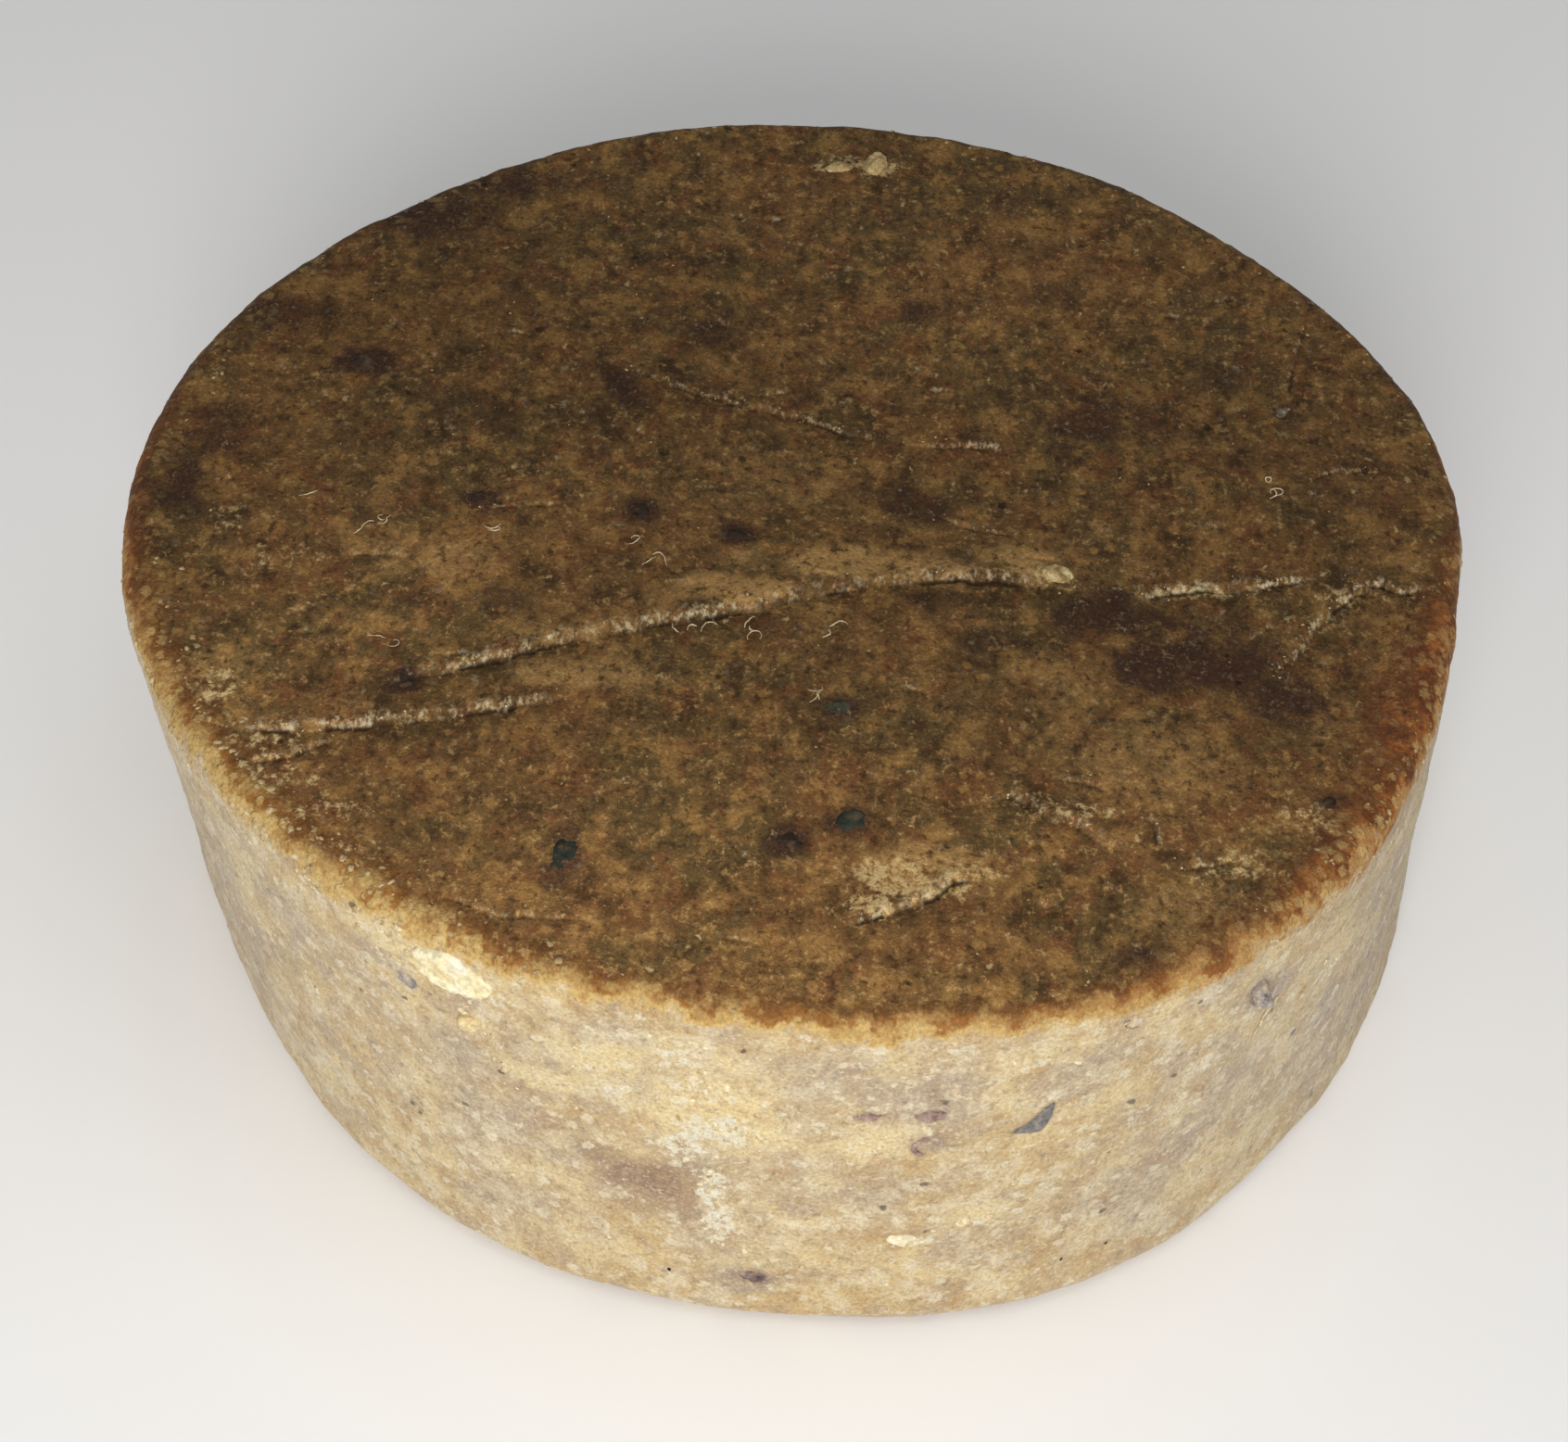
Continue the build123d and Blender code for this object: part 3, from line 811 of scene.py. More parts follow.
def top_colour(g, wide, medium, small, tiny, other):
    """Worn brown, darker than the wall partly as painted shade: olive and russet clouds, amber and dark
    grain, stains, and pale scraps.
    """
    colour = g.blend(g.span(wide, 0.40, 0.60), OLIVE, BROWN)
    colour = g.over(colour, RUSSET, other, 0.50, 0.62, 0.8)
    colour = g.over(colour, AMBER_BROWN, medium, 0.49, 0.66, 0.75)
    colour = g.over(colour, DARK_BROWN, medium, 0.49, 0.33, 0.8)
    # painted glow of light through the translucent soap, where the glow mask is set
    colour = g.blend(g.patchy("glow", small, 0.35, 0.6, 0.4, 1), colour, GLOW)
    # painted shade in front of the folds, with some stain
    colour = g.blend(g.patchy("shade", small, 0.65, 0.4, 0.45, 0.85), colour, SHADE)
    colour = g.over(colour, AMBER_BROWN, small, 0.53, 0.66, 0.7)
    colour = g.over(colour, DARK_BROWN, small, 0.47, 0.34, 0.8)
    amber_scraps = g.scraps(1.1, 0.2, 0.42, shift=11)
    colour = g.blend(g.calc("MULTIPLY", amber_scraps, 0.6), colour, AMBER_BROWN)
    # pale flecks, here and in the tiny grain below: partly the soap's own pale bits, partly painted
    # glints where light catches tiny crack edges
    pale_flecks = g.scraps(0.9, 0.12, 0.17, (1, 0.8, 1), shift=23)
    colour = g.blend(g.calc("MULTIPLY", pale_flecks, 0.6), colour, FLECK)
    colour = g.over(colour, FLECK, tiny, 0.62, 0.74, 0.3)
    stain = g.frayed("blotch", small, -0.3, 0.3)
    colour = g.over(colour, STAIN, stain, 0.2, 1.0, 0.88)
    torn = g.frayed("cream", small, -0.6, 0.35)
    torn = g.calc("ADD", torn, g.span(tiny, 0.35, 0.65, -0.14, 0.1))
    torn_colour = g.blend(g.span(small, 0.42, 0.58), GLOW, TORN)
    colour = g.over(colour, torn_colour, torn, 0.15, 0.9, 0.85)
    # scaled by the tone mask, which paints light: paler towards the front edge
    return g.brightness(colour, g.mask("tone"))


def wall_colour(g, wide, medium, small, tiny, other):
    """Pale waxy tan, paler than the top partly as painted light: honey clouds, lavender-grey and cream
    scraps, and rust, butter and ash patches.
    """
    clouds = g.grain(0.28, (0.9, 0.9, 1.1), detail=3, rough=0.5, shift=37)
    scraps = g.scraps(0.5, 0.4, 0.45, (1, 1, 1.2), shift=41, soft=0.8)
    bits = g.scraps(1.1, 0.34, 0.38, (1, 1, 1.1), shift=53, ragged=1.0, soft=0.8)
    colour = g.blend(g.span(wide, 0.42, 0.6), TAN, HONEY)
    colour = g.blend(g.patchy("golden", small, 0.65, 0.35, 0.6, 1.0), colour, GOLDEN)
    colour = g.over(colour, BUTTER, clouds, 0.50, 0.62, 0.5)
    colour = g.over(colour, LAVENDER, clouds, 0.46, 0.36, 0.35)
    colour = g.over(colour, ORANGE_TAN, other, 0.46, 0.34, 0.6)
    colour = g.over(colour, LAVENDER, medium, 0.45, 0.34, 0.4)
    colour = g.over(colour, CREAM, other, 0.52, 0.64, 0.65)
    colour = g.blend(g.patchy("grey", small, 0.65, 0.35, 0.45, 0.9), colour, LAVENDER)
    colour = g.blend(g.patchy("rust", small, 0.35, 0.55, 0.35, 1.0), colour, RUST)
    colour = g.blend(g.patchy("butter", small, 0.3, 0.6, 0.4, 1.0), colour, BUTTER)
    colour = g.blend(g.calc("MULTIPLY", scraps, 0.35), colour, CREAM)
    colour = g.over(colour, CREAM, small, 0.54, 0.66, 0.6)
    colour = g.over(colour, UMBER, small, 0.45, 0.33, 0.55)
    ash = g.frayed("bloom", small, -0.55, 0.45)
    colour = g.over(colour, ASH, ash, 0.3, 0.8, 0.95)
    colour = g.blend(g.calc("MULTIPLY", bits, 0.65), colour, CRUMB)
    colour = g.over(colour, CRUMB, tiny, 0.60, 0.72, 0.5)
    return g.over(colour, UMBER, tiny, 0.38, 0.27, 0.45)


def soap_material():
    g = Graph("pressed_soap", roughness=0.6, specular=0.09)
    wide = g.grain(0.11, detail=3)
    medium = g.grain(0.45, (1.15, 0.85, 1.15), detail=5, rough=0.65)
    small = g.grain(1.5, (1.1, 0.9, 1.1), detail=5, rough=0.72, shift=31)
    tiny = g.grain(4.5, (1.05, 0.9, 1.05), detail=3, rough=0.7, shift=57)
    other = g.grain(0.5, (1.1, 0.9, 1.1), detail=4, rough=0.6, shift=83)
    noises = (wide, medium, small, tiny, other)
    wall = wall_colour(g, *noises)

    # from the top over the worn edge to the wall, in widths of the amber band: a painted glow of light
    # shining through the thin edge
    fine_speckle = g.span(small, 0.35, 0.65, -0.2, 0.2)
    speckle = g.calc("ADD", fine_speckle, g.span(other, 0.35, 0.65, -0.3, 0.3))
    past = g.calc("ADD", g.mask("edge"), speckle)
    side = g.span(past, 0.0, -0.5)
    reddish = g.mask("reddish")
    ember, amber = g.blend(reddish, EMBER, MAROON), g.blend(reddish, AMBER, ORANGE)
    red_clouds = g.calc("MULTIPLY", reddish, g.span(medium, 0.58, 0.44, 0.1, 0.9))
    ember_share = g.calc("MAXIMUM", g.span(small, 0.5, 0.36, 0, 0.7), red_clouds)
    honey_share = g.calc("MULTIPLY", g.span(medium, 0.44, 0.56, 0, 0.6), g.calc("SUBTRACT", 1.0, reddish))
    edge = g.blend(honey_share, g.blend(ember_share, amber, ember), HONEY_EDGE)
    colour = g.blend(g.span(past, 1.9, 0.9, 0, 0.65), top_colour(g, *noises), ember)
    colour = g.over(colour, edge, past, 1.1, 0.55, 0.92)
    outer = g.blend(g.calc("MULTIPLY", reddish, 0.6), HONEY_EDGE, amber)
    colour = g.blend(g.span(past, 0.4, -0.05), colour, outer)
    # the wall's colour takes over from the top's: the wall is painted paler and the top darker, partly as
    # light and shade fall on them
    colour = g.blend(side, colour, wall)
    crumbs = g.calc("MULTIPLY", g.mask("crumbly"), g.scraps(1.3, 0.65, 0.5, shift=67))
    colour = g.blend(g.calc("MULTIPLY", crumbs, 0.75), colour, g.blend(side, HONEY_EDGE, CREAM))

    # the fold lips: pale, partly torn soap and partly painted highlight
    flakes = g.grain(1.9, (1.3, 0.9, 1.0), detail=4, rough=0.7, shift=71)
    torn = g.frayed("lip", flakes, -0.3, 0.25)
    lip_and_highlight = g.blend(g.span(flakes, 0.42, 0.6), GLOW, LIP_AND_HIGHLIGHT)
    colour = g.blend(g.span(torn, 0.12, 0.95, 0, 0.92), colour, g.blend(side, lip_and_highlight, CREAM))
    # painted shade in the crevices, in the pits and in the gaps round inclusions
    slit = g.span(g.mask("crevice"), 0.08, 0.75, 0, 0.92)
    colour = g.blend(slit, colour, g.blend(side, SLIT_SHADE, WALL_SLIT_SHADE))
    # pinholes: painted shade, dark spots standing for tiny holes that are not cut into the surface
    pinholes = g.scraps(0.4, 0.4, 0.12, shift=97, ragged=0.3)
    colour = g.blend(g.calc("MULTIPLY", pinholes, 0.85), colour, g.brightness(colour, 0.22))
    top_grain, wall_grain = g.span(tiny, 0.32, 0.68, 0.82, 1.2), g.span(tiny, 0.32, 0.68, 0.82, 1.16)
    colour = g.blend(1.0, colour, g.blend(side, top_grain, wall_grain), "MULTIPLY")

    height = g.calc("ADD", small, g.calc("MULTIPLY", tiny, 0.4))
    height = g.calc("ADD", height, g.calc("MULTIPLY", crumbs, 0.5))
    roughness = g.span(medium, 0.35, 0.65, 0.5, 0.7)
    material = g.finish(colour, height, bump=0.65, distance=0.32, roughness=roughness)
    g.feed(g.shader.inputs["Sheen Weight"], g.calc("MULTIPLY", side, 0.15))
    return material


def crumb_material():
    """Loose scraps of soap, from amber to nearly white by their tone."""
    g = Graph("soap_crumbs", roughness=0.55, specular=0.2)
    tone = g.mask("tone")
    colour = g.blend(g.span(tone, 0.0, 0.5), (0.20, 0.115, 0.045), (0.44, 0.32, 0.16))
    colour = g.blend(g.span(tone, 0.5, 1.0), colour, (0.72, 0.62, 0.42))
    grain = g.grain(4.0, detail=3, rough=0.7, shift=3)
    return g.finish(g.brightness(colour, g.span(grain, 0.3, 0.7, 0.7, 1.25)), grain, 0.4, 0.1)


def mottled(name, base, light, dark, per_mm, bump, roughness, specular):
    """A material of one substance, with lighter and darker grain."""
    g = Graph(name, roughness, specular)
    coarse = g.grain(per_mm, detail=4, rough=0.65, shift=len(name))
    fine = g.grain(per_mm * 4, detail=3, rough=0.6, shift=2 * len(name))
    colour = g.blend(g.span(coarse, 0.5, 0.68), base, light)
    colour = g.blend(g.span(coarse, 0.5, 0.32), colour, dark)
    colour = g.brightness(colour, g.span(fine, 0.3, 0.7, 0.8, 1.2))
    return g.finish(colour, g.calc("ADD", coarse, g.calc("MULTIPLY", fine, 0.4)), bump, 0.12)


# the inclusions that look different from the others of their material slot
OWN_MATERIAL = {
    "purple_chip_low": "faded",
    "grey_flake_side": "dusty",
    "blue_chip_side": "dusty",
    "cream_lump_rim": "lump",
    "cream_chip_low": "lump",
    "cream_lump_back": "dull",
    "cream_crumb_back": "dull",
    "cream_crumb_fold": "dull",
}

# name, base, light and dark albedo, blobs to the millimetre, bump, roughness, specular
INCLUSION_LOOKS = {
    "faded": (
        "faded_chip", (0.19, 0.13, 0.11), (0.38, 0.29, 0.22), (0.06, 0.04, 0.04),
        1.6, 0.5, 0.6, 0.2,
    ),
    "dusty": (
        "dusty_flake", (0.31, 0.27, 0.24), (0.5, 0.42, 0.31), (0.12, 0.105, 0.105),
        1.6, 0.5, 0.6, 0.2,
    ),
    "dull": (
        "stained_cream", (0.4, 0.28, 0.115), (0.58, 0.47, 0.26), (0.2, 0.125, 0.045),
        1.8, 0.5, 0.5, 0.35,
    ),
    "lump": (
        "pale_cream", (0.74, 0.65, 0.42), (0.82, 0.76, 0.58), (0.66, 0.53, 0.27),
        0.7, 0.35, 0.45, 0.35,
    ),
    "butter": (
        "cream_butter", (0.56, 0.42, 0.2), (0.72, 0.63, 0.43), (0.38, 0.23, 0.085),
        0.9, 0.4, 0.45, 0.35,
    ),
    "char": (
        "charred_chip", (0.034, 0.022, 0.016), (0.09, 0.054, 0.03), (0.012, 0.008, 0.006),
        1.3, 0.6, 0.7, 0.1,
    ),
    "leaf": (
        "teal_leaf", (0.03, 0.035, 0.024), (0.085, 0.065, 0.036), (0.012, 0.015, 0.012),
        1.1, 0.5, 0.7, 0.2,
    ),
    "slate": (
        "slate_flake", (0.15, 0.14, 0.138), (0.26, 0.225, 0.185), (0.08, 0.072, 0.072),
        2.2, 0.4, 0.55, 0.3,
    ),
    "husk": ("seed_husk", (0.3, 0.2, 0.165), (0.5, 0.41, 0.31), (0.17, 0.1, 0.08), 1.8, 0.5, 0.6, 0.35),
    "grit": (
        "pale_grit", (0.12, 0.09, 0.06), (0.3, 0.25, 0.17), (0.06, 0.045, 0.03),
        2.0, 0.5, 0.6, 0.35,
    ),
    "plant_hair": (
        "plant_hair", (0.52, 0.41, 0.25), (0.72, 0.62, 0.44), (0.34, 0.24, 0.13),
        2.5, 0.2, 0.45, 0.35,
    ),
}


def inclusion_materials():
    return {name: mottled(*row) for name, row in INCLUSION_LOOKS.items()}


# =============================================================================
# Inclusions
# =============================================================================

slot_of = {part["node"]: part["material_slot"] for part in frame["record"]["subparts"]}
inclusion_names = sorted(name for name in frame["nodes"] if name != "soap_body")
HAIR_NAMES = ("plant_hairs", "long_plant_hair")


def outward_at(points):
    """The direction out of the soap beside each point: up on the top, away from the axis on the wall."""
    reach = np.hypot(points[:, 0], points[:, 1])
    radial = np.column_stack((points[:, 0] / reach, points[:, 1] / reach, np.zeros(len(points))))
    tilt = np.pi / 2 * smooth(points[:, 2], HEIGHT - 3.2, HEIGHT - 0.9)[:, None]
    return radial * np.cos(tilt) + np.array((0, 0, 1)) * np.sin(tilt)


def islands(points, faces):
    """The separate solids of a piece, as arrays of their points' numbers."""
    owner = np.arange(len(points))
    faces = np.array(faces)
    while True:
        lowest = owner[faces].min(axis=1)
        before = owner.copy()
        for k in range(3):
            np.minimum.at(owner, faces[:, k], lowest)
        if np.array_equal(owner, before):
            break
    return [np.nonzero(owner == k)[0] for k in np.unique(owner)]


def cad_solid(name, finest):
    """A CAD inclusion in small triangles, with its edges worn: points, normals and faces."""
    bm = bmesh.new()
    bm.from_mesh(frame["nodes"][name].data)
    bmesh.ops.scale(bm, vec=(1 / MM,) * 3, verts=bm.verts)
    bmesh.ops.remove_doubles(bm, verts=bm.verts, dist=0.004)
    bmesh.ops.triangulate(bm, faces=bm.faces)
    for _ in range(4):
        long_edges = [e for e in bm.edges if e.calc_length() > 1.5 * finest]
        if not long_edges:
            break
        bmesh.ops.subdivide_edges(bm, edges=long_edges, cuts=1, use_grid_fill=True)
        bmesh.ops.triangulate(bm, faces=[f for f in bm.faces if len(f.verts) > 3])
    for _ in range(2):
        bmesh.ops.smooth_vert(
            bm, verts=bm.verts, factor=0.5, use_axis_x=True, use_axis_y=True, use_axis_z=True
        )
    bm.normal_update()
    bm.verts.index_update()
    points = np.array([v.co for v in bm.verts])
    normals = np.array([v.normal for v in bm.verts])
    faces = [[v.index for v in f.verts] for f in bm.faces]
    bm.free()
    return points, normals, faces


def worn_inclusion(name):
    """A CAD inclusion, roughened, domed and pressed into the relief: points, faces and solids."""
    seat = SEATS[slot_of[name]]
    points, normals, faces = cad_solid(name, seat.finest)
    solids = islands(points, faces)
    outward = outward_at(points)
    rim_share = np.zeros(len(points))
    for solid in solids:
        offset = points[solid] - points[solid].mean(axis=0)
        out = outward[solid].mean(axis=0)
        across = Vector(out).orthogonal()
        first = offset @ across
        second = offset @ Vector(out).cross(across)
        rim_share[solid] = np.hypot(first / np.abs(first).max(), second / np.abs(second).max())
    points = points + normals * (seat.rough * Field(41).layered(points * 2.2, 3, 0.6))[:, None]
    ground = Skin(points, outward)
    pressed_relief(ground)
    height = ground.relief - seat.pressed - seat.dome * rim_share**2
    return points + outward * height[:, None], faces, solids


def bed(skin, points, seat, ragged):
    """Closes the soap round an inclusion, with a dark gap of painted shade and a soft stain where its
    kind has them.
    """
    low, high = points.min(axis=0) - 1.4, points.max(axis=0) + 1.4
    near = np.nonzero(np.all((skin.points > low) & (skin.points < high), axis=1))[0]
    if not len(near):
        return
    here = skin.points[near] + skin.normals[near] * skin.relief[near][:, None]
    gap = np.min(np.linalg.norm(here[:, None, :] - points[None, :, :], axis=2), axis=1)
    skin.relief[near] -= 0.1 * seat.gap * (1 - smooth(gap, 0.05, 0.3))
    skin.stain("crevice", near, seat.gap * (1 - smooth(gap, 0.08, 0.3)))
    skin.stain("blotch", near, seat.stain * (1 - smooth(gap + 0.35 * ragged[near], 0.0, 1.0)))


class Ground:
    """The finished soap surface, for laying small things on it."""

    def __init__(self, points, faces):
        self.tree = BVHTree.FromPolygons([tuple(p) for p in points], faces)

    def under(self, place, out):
        """The surface point and normal met when coming straight in towards a place."""
        out = Vector(out)
        point, normal, *_ = self.tree.ray_cast(Vector(place) + out * 4, -out, 12)
        return (np.array(point), np.array(normal)) if point else (None, None)

    def at_angle(self, angle, height):
        out = (cos(radians(angle)), sin(radians(angle)), 0)
        return self.under((out[0] * RADIUS, out[1] * RADIUS, height), out)

    def near_rim(self, angle, past):
        """A place at this distance from the worn edge, towards the top if positive."""
        if past > 0:
            reach, turn = RADIUS - RIM_ROUND * 0.4 - past, radians(angle)
            return self.under((reach * cos(turn), reach * sin(turn), HEIGHT), (0, 0, 1))
        return self.at_angle(angle, HEIGHT - 0.4 * RIM_ROUND + past)


def tube(line, radii, sides=5):
    """A round strand along a line of points: points and faces."""
    line = np.array(line)
    points, faces = [], []
    for k, (middle, radius) in enumerate(zip(line, radii)):
        along = Vector(line[min(k + 1, len(line) - 1)] - line[max(k - 1, 0)]).normalized()
        side = along.cross(Vector((0.31, 0.52, 0.79))).normalized()
        other = along.cross(side)
        for turn in np.arange(sides) * 2 * np.pi / sides:
            points.append(middle + radius * (cos(turn) * np.array(side) + sin(turn) * np.array(other)))
    for k in range(len(line) - 1):
        for i in range(sides):
            a, b = k * sides + i, k * sides + (i + 1) % sides
            faces.append((a, b, b + sides, a + sides))
    faces.append(tuple(reversed(range(sides))))
    faces.append(tuple(range((len(line) - 1) * sides, len(line) * sides)))
    return points, faces


def curled_hair(ground, rng, place, out, length, thickness, curl):
    """One hair that wanders over the soap from a place, curling as it goes."""
    steps = 16
    first = np.array(Vector(out).orthogonal().normalized())
    second = np.cross(out, first)
    heading, spot = rng.uniform(0, 2 * np.pi), np.array(place, float)
    line = []
    for k in range(steps + 1):
        found, _ = ground.under(spot, out)
        if found is None:
            break
        lift = 0.5 * thickness + 0.12 * np.sin(np.pi * k / steps) * rng.uniform(0.6, 1)
        line.append(found + np.array(out) * lift)
        heading += curl / steps + rng.normal(0, 0.22)
        spot = found + (cos(heading) * first + sin(heading) * second) * length / steps
    swell = np.sin(np.pi * (0.12 + 0.8 * np.arange(len(line)) / steps))  # thickest in the middle
    return tube(line, thickness / 2 * (0.25 + 0.75 * swell))


def joined(parts):
    """Several lists of points and faces as one."""
    points, faces = [], []
    for more_points, more_faces in parts:
        start = len(points)
        points.extend(more_points)
        faces.extend([tuple(start + i for i in face) for face in more_faces])
    return points, faces


def hairs_of(name, ground):
    """The CAD's simple curls as fine hairs in the same places: a few strands at each."""
    points, _, faces = cad_solid(name, 0.3)
    rng = np.random.default_rng(51)
    strands = []
    for solid in islands(points, faces):
        middle = points[solid].mean(axis=0)
        out = outward_at(points[solid]).mean(axis=0)
        out = out / np.linalg.norm(out)
        if name == "long_plant_hair":
            strands.append(curled_hair(ground, rng, middle, out, 3.4, 0.12, 2.2))
            strands.append(curled_hair(ground, rng, middle, out, 2.0, 0.08, -1.6))
            continue
        for _ in range(rng.integers(1, 4)):
            start = middle + (rng.normal(0, 0.35, 3) * (1 - np.abs(out)))
            curl = rng.choice((-1, 1)) * rng.uniform(0.8, 4.5)
            length, thickness = rng.uniform(0.7, 1.7), rng.uniform(0.07, 0.11)
            strands.append(curled_hair(ground, rng, start, out, length, thickness, curl))
    return joined(strands)


def crumb(rng, place, out, size):
    """One flat ragged scrap, half sunk."""
    sides = rng.integers(6, 9)
    turns = (np.arange(sides) + rng.uniform(-0.3, 0.3, sides)) * 2 * np.pi / sides
    reach = rng.uniform(0.5, 1.3, sides)
    narrow, thick = rng.uniform(0.45, 0.9), rng.uniform(0.14, 0.34)
    outer = np.column_stack((reach * np.cos(turns), narrow * reach * np.sin(turns), np.full(sides, -0.2)))
    rise = np.column_stack((np.zeros((sides, 2)), thick * rng.uniform(0.5, 1.2, sides)))
    inner = outer * (0.55, 0.55, 0) + rise
    corners = np.vstack((outer, inner, [(0, 0, thick * rng.uniform(0.5, 1.1))]))
    faces = []
    for i in range(sides):
        after = (i + 1) % sides
        faces.append((i, after, sides + after, sides + i))
        faces.append((sides + i, sides + after, 2 * sides))
    turn = Matrix.Rotation(rng.uniform(0, 2 * np.pi), 3, "Z")
    tilt = Vector((0, 0, 1)).rotation_difference(Vector(out)).to_matrix()
    faces.append(tuple(reversed(range(sides))))
    return corners @ np.array(tilt @ turn).T * size + place, faces


def scattered_crumbs(ground):
    """(place, outward, size, tone) for each crumb of soap that clings to the surface."""
    rng = np.random.default_rng(61)
    found = []

    def cling(spot, size, tone):
        place, out = spot
        if place is not None:
            found.append((place, out, size, np.clip(tone + rng.normal(0, 0.12), 0, 1)))

    for _ in range(170):
        angle, past = rng.normal(224, 14), rng.normal(0.4, 1.0)
        cling(ground.near_rim(angle, past), rng.uniform(0.1, 0.36), 0.5 - 0.15 * past)
    for _ in range(45):
        angle, past = rng.normal(328, 10), rng.normal(0.5, 0.9)
        cling(ground.near_rim(angle, past), rng.uniform(0.08, 0.24), 0.4 - 0.2 * past)
    for _ in range(170):
        angle, past = rng.uniform(0, 360), rng.normal(0.1, 0.8)
        cling(ground.near_rim(angle, past), rng.uniform(0.08, 0.24), 0.42 - 0.2 * past)
    for angle, height, length, width, strength in WALL_BLOOM + WALL_BUTTER:
        for _ in range(round(9 * strength * length**0.5)):
            spread = np.degrees(rng.normal(0, 0.55 * length) / RADIUS)
            level = np.clip(height + rng.normal(0, 0.55 * width), 1, HEIGHT - 1)
            cling(ground.at_angle(angle + spread, level), rng.uniform(0.12, 0.36), 0.8)
    for _ in range(330):
        spot = ground.at_angle(rng.uniform(0, 360), rng.uniform(1.5, HEIGHT - 1.5))
        cling(spot, rng.uniform(0.08, 0.22), rng.uniform(0.45, 0.85))
    for _ in range(230):
        reach, angle = 36 * rng.uniform() ** 0.5, rng.uniform(0, 2 * np.pi)
        spot = ground.under((reach * cos(angle), reach * sin(angle), HEIGHT), (0, 0, 1))
        cling(spot, rng.uniform(0.05, 0.16), rng.uniform(0.0, 0.45))
    for path, _, _, paleness in TOP_FOLDS:
        route = rounded_path(path)
        for _ in range(round(len(route) * paleness * 0.5)):
            x, y = route[rng.integers(len(route))] + rng.normal(0, 0.25, 2)
            spot = ground.under((x, y + 0.2, HEIGHT), (0, 0, 1))
            cling(spot, rng.uniform(0.06, 0.15), rng.uniform(0.4, 0.75))
    return found


# =============================================================================
# Building
# =============================================================================


def lay_crumbs(ground):
    rng = np.random.default_rng(71)
    crumbs = scattered_crumbs(ground)
    parts = [crumb(rng, place, out, size) for place, out, size, _ in crumbs]
    points, faces = joined(parts)
    piece = new_piece("clinging_crumbs", points, faces, crumb_material(), "soap")
    tones = np.repeat([tone for *_, tone in crumbs], [len(p) for p, _ in parts])
    piece.data.attributes.new("tone", "FLOAT", "POINT").data.foreach_set("value", tones)


def build_puck():
    chips = [name for name in inclusion_names if name not in HAIR_NAMES]
    worn = {name: worn_inclusion(name) for name in chips}
    spots = []
    for points, faces, solids in worn.values():
        spots += [(points[s].mean(axis=0), np.ptp(points[s], axis=0).max() / 2) for s in solids]
    points, normals, faces = refine(*plain_puck(), spots)
    skin = Skin(points, normals)
    shape_skin(skin)
    even_out(skin, faces)
    blot = Field(17).layered(points * 0.9, 3, 0.6)
    for name in chips:
        seat = SEATS[slot_of[name]]
        if name in ("char_specks", "purple_chip_low"):
            seat = seat._replace(stain=0.3)
        for solid in worn[name][2]:
            bed(skin, worn[name][0][solid], seat, blot)
    shaped = skin.points + skin.normals * skin.relief[:, None]
    level_base(shaped)
    body = new_piece("pressed_soap", shaped, faces, soap_material(), "soap", "soap_body")
    for name, values in skin.masks.items():
        body.data.attributes.new(name, "FLOAT", "POINT").data.foreach_set("value", values)

    materials = inclusion_materials()
    for name in chips:
        slot = slot_of[name]
        material = materials[OWN_MATERIAL.get(name, slot)]
        new_piece(f"{name}_worn", *worn[name][:2], material, slot, name)
    ground = Ground(shaped, faces)
    for name in HAIR_NAMES:
        points, faces = hairs_of(name, ground)
        new_piece(f"{name}_fine", points, faces, materials["plant_hair"], "plant_hair", name)
    lay_crumbs(ground)


def level_base(points):
    """Presses the base flat, so that the puck stands on it, and keeps the folds near the CAD's height."""
    np.clip(points[:, 2], 0.0, HEIGHT + 0.7, out=points[:, 2])


build_puck()


# =============================================================================
# Stage
# =============================================================================

CAMERA_DISTANCE = 190.0
AIM_LEVEL = 13.0
CAMERA_LIFT = 45.15  # degrees above the horizon
CAMERA_ROLL = 3.33
CAMERA_LENS = 72.22
AIM_RIGHT, AIM_UP = -1.041, -2.487  # where the camera points, across its view from the puck's middle


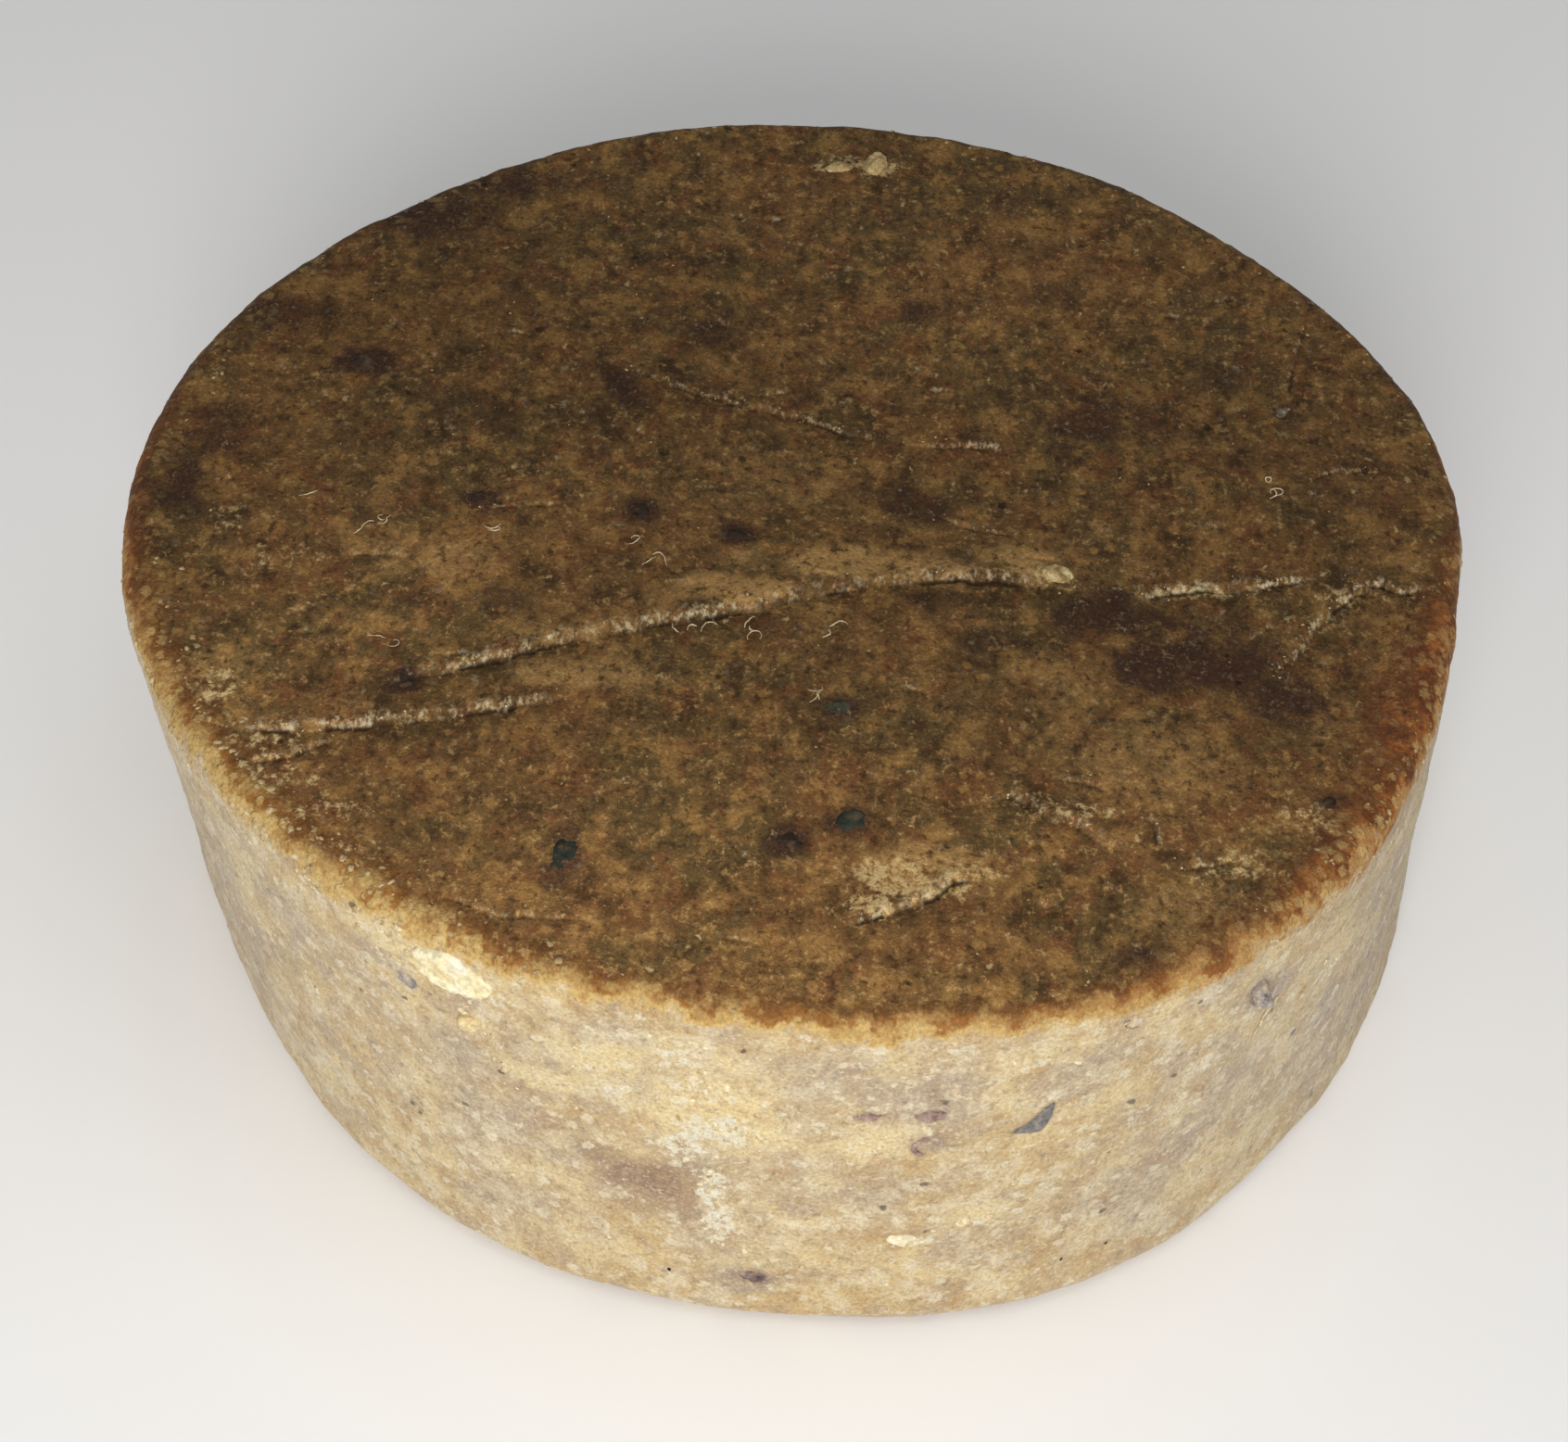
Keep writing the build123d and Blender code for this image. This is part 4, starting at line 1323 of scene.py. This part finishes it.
def studio_floor():
    half, level = 900 * MM, -0.02 * MM  # just under the base, whose lowest points are at 0
    mesh = bpy.data.meshes.new("floor")
    corners = [(x * half, y * half, level) for x, y in ((-1, -1), (1, -1), (1, 1), (-1, 1))]
    mesh.from_pydata(corners, [], [(0, 1, 2, 3)])
    floor = bpy.data.objects.new("floor", mesh)
    g = Graph("pale_paper", roughness=0.9, specular=0.1)
    mesh.materials.append(g.finish((0.94, 0.94, 0.94)))
    bpy.context.scene.collection.objects.link(floor)


def soft_light(name, place, aim, size, watts, colour=(1, 1, 1)):
    lamp = bpy.data.lights.new(name, "AREA")
    lamp.shape = "DISK"
    lamp.size = size * MM
    lamp.energy = watts
    lamp.color = colour
    holder = bpy.data.objects.new(name, lamp)
    place, aim = Vector(place) * MM, Vector(aim) * MM
    holder.location = place
    holder.rotation_euler = (aim - place).to_track_quat("-Z", "Y").to_euler()
    bpy.context.scene.collection.objects.link(holder)


def world_light(strength):
    world = bpy.data.worlds.new("studio")
    world.use_nodes = True
    background = world.node_tree.nodes["Background"]
    background.inputs["Color"].default_value = (1, 1, 1, 1)
    background.inputs["Strength"].default_value = strength
    bpy.context.scene.world = world


def photo_camera():
    lift, roll = radians(CAMERA_LIFT), radians(CAMERA_ROLL)
    middle = Vector((0, 0, AIM_LEVEL))
    place = middle + CAMERA_DISTANCE * Vector((0, -cos(lift), sin(lift)))
    target = middle + Vector((AIM_RIGHT, AIM_UP * sin(lift), AIM_UP * cos(lift)))
    forward = (target - place).normalized()
    right = forward.cross(Vector((0, 0, 1))).normalized()
    up = right.cross(forward)
    turned_right = right * cos(roll) + up * sin(roll)
    turned_up = up * cos(roll) - right * sin(roll)
    camera = bpy.data.cameras.new("camera")
    camera.lens = CAMERA_LENS
    camera.clip_start = 0.01
    holder = bpy.data.objects.new("camera", camera)
    turn = Matrix((turned_right, turned_up, -forward)).transposed().to_4x4()
    holder.matrix_world = Matrix.Translation(place * MM) @ turn
    bpy.context.scene.collection.objects.link(holder)
    bpy.context.scene.camera = holder


studio_floor()
soft_light("key", (-15, -300, 172), aim=(0, 0, 12), size=130, watts=0.84, colour=(1.0, 0.985, 0.96))
soft_light("top_fill", (80, -60, 520), aim=(0, 0, 20), size=420, watts=0.4)
world_light(strength=0.31)
photo_camera()
bpy.context.scene.view_settings.view_transform = "Standard"
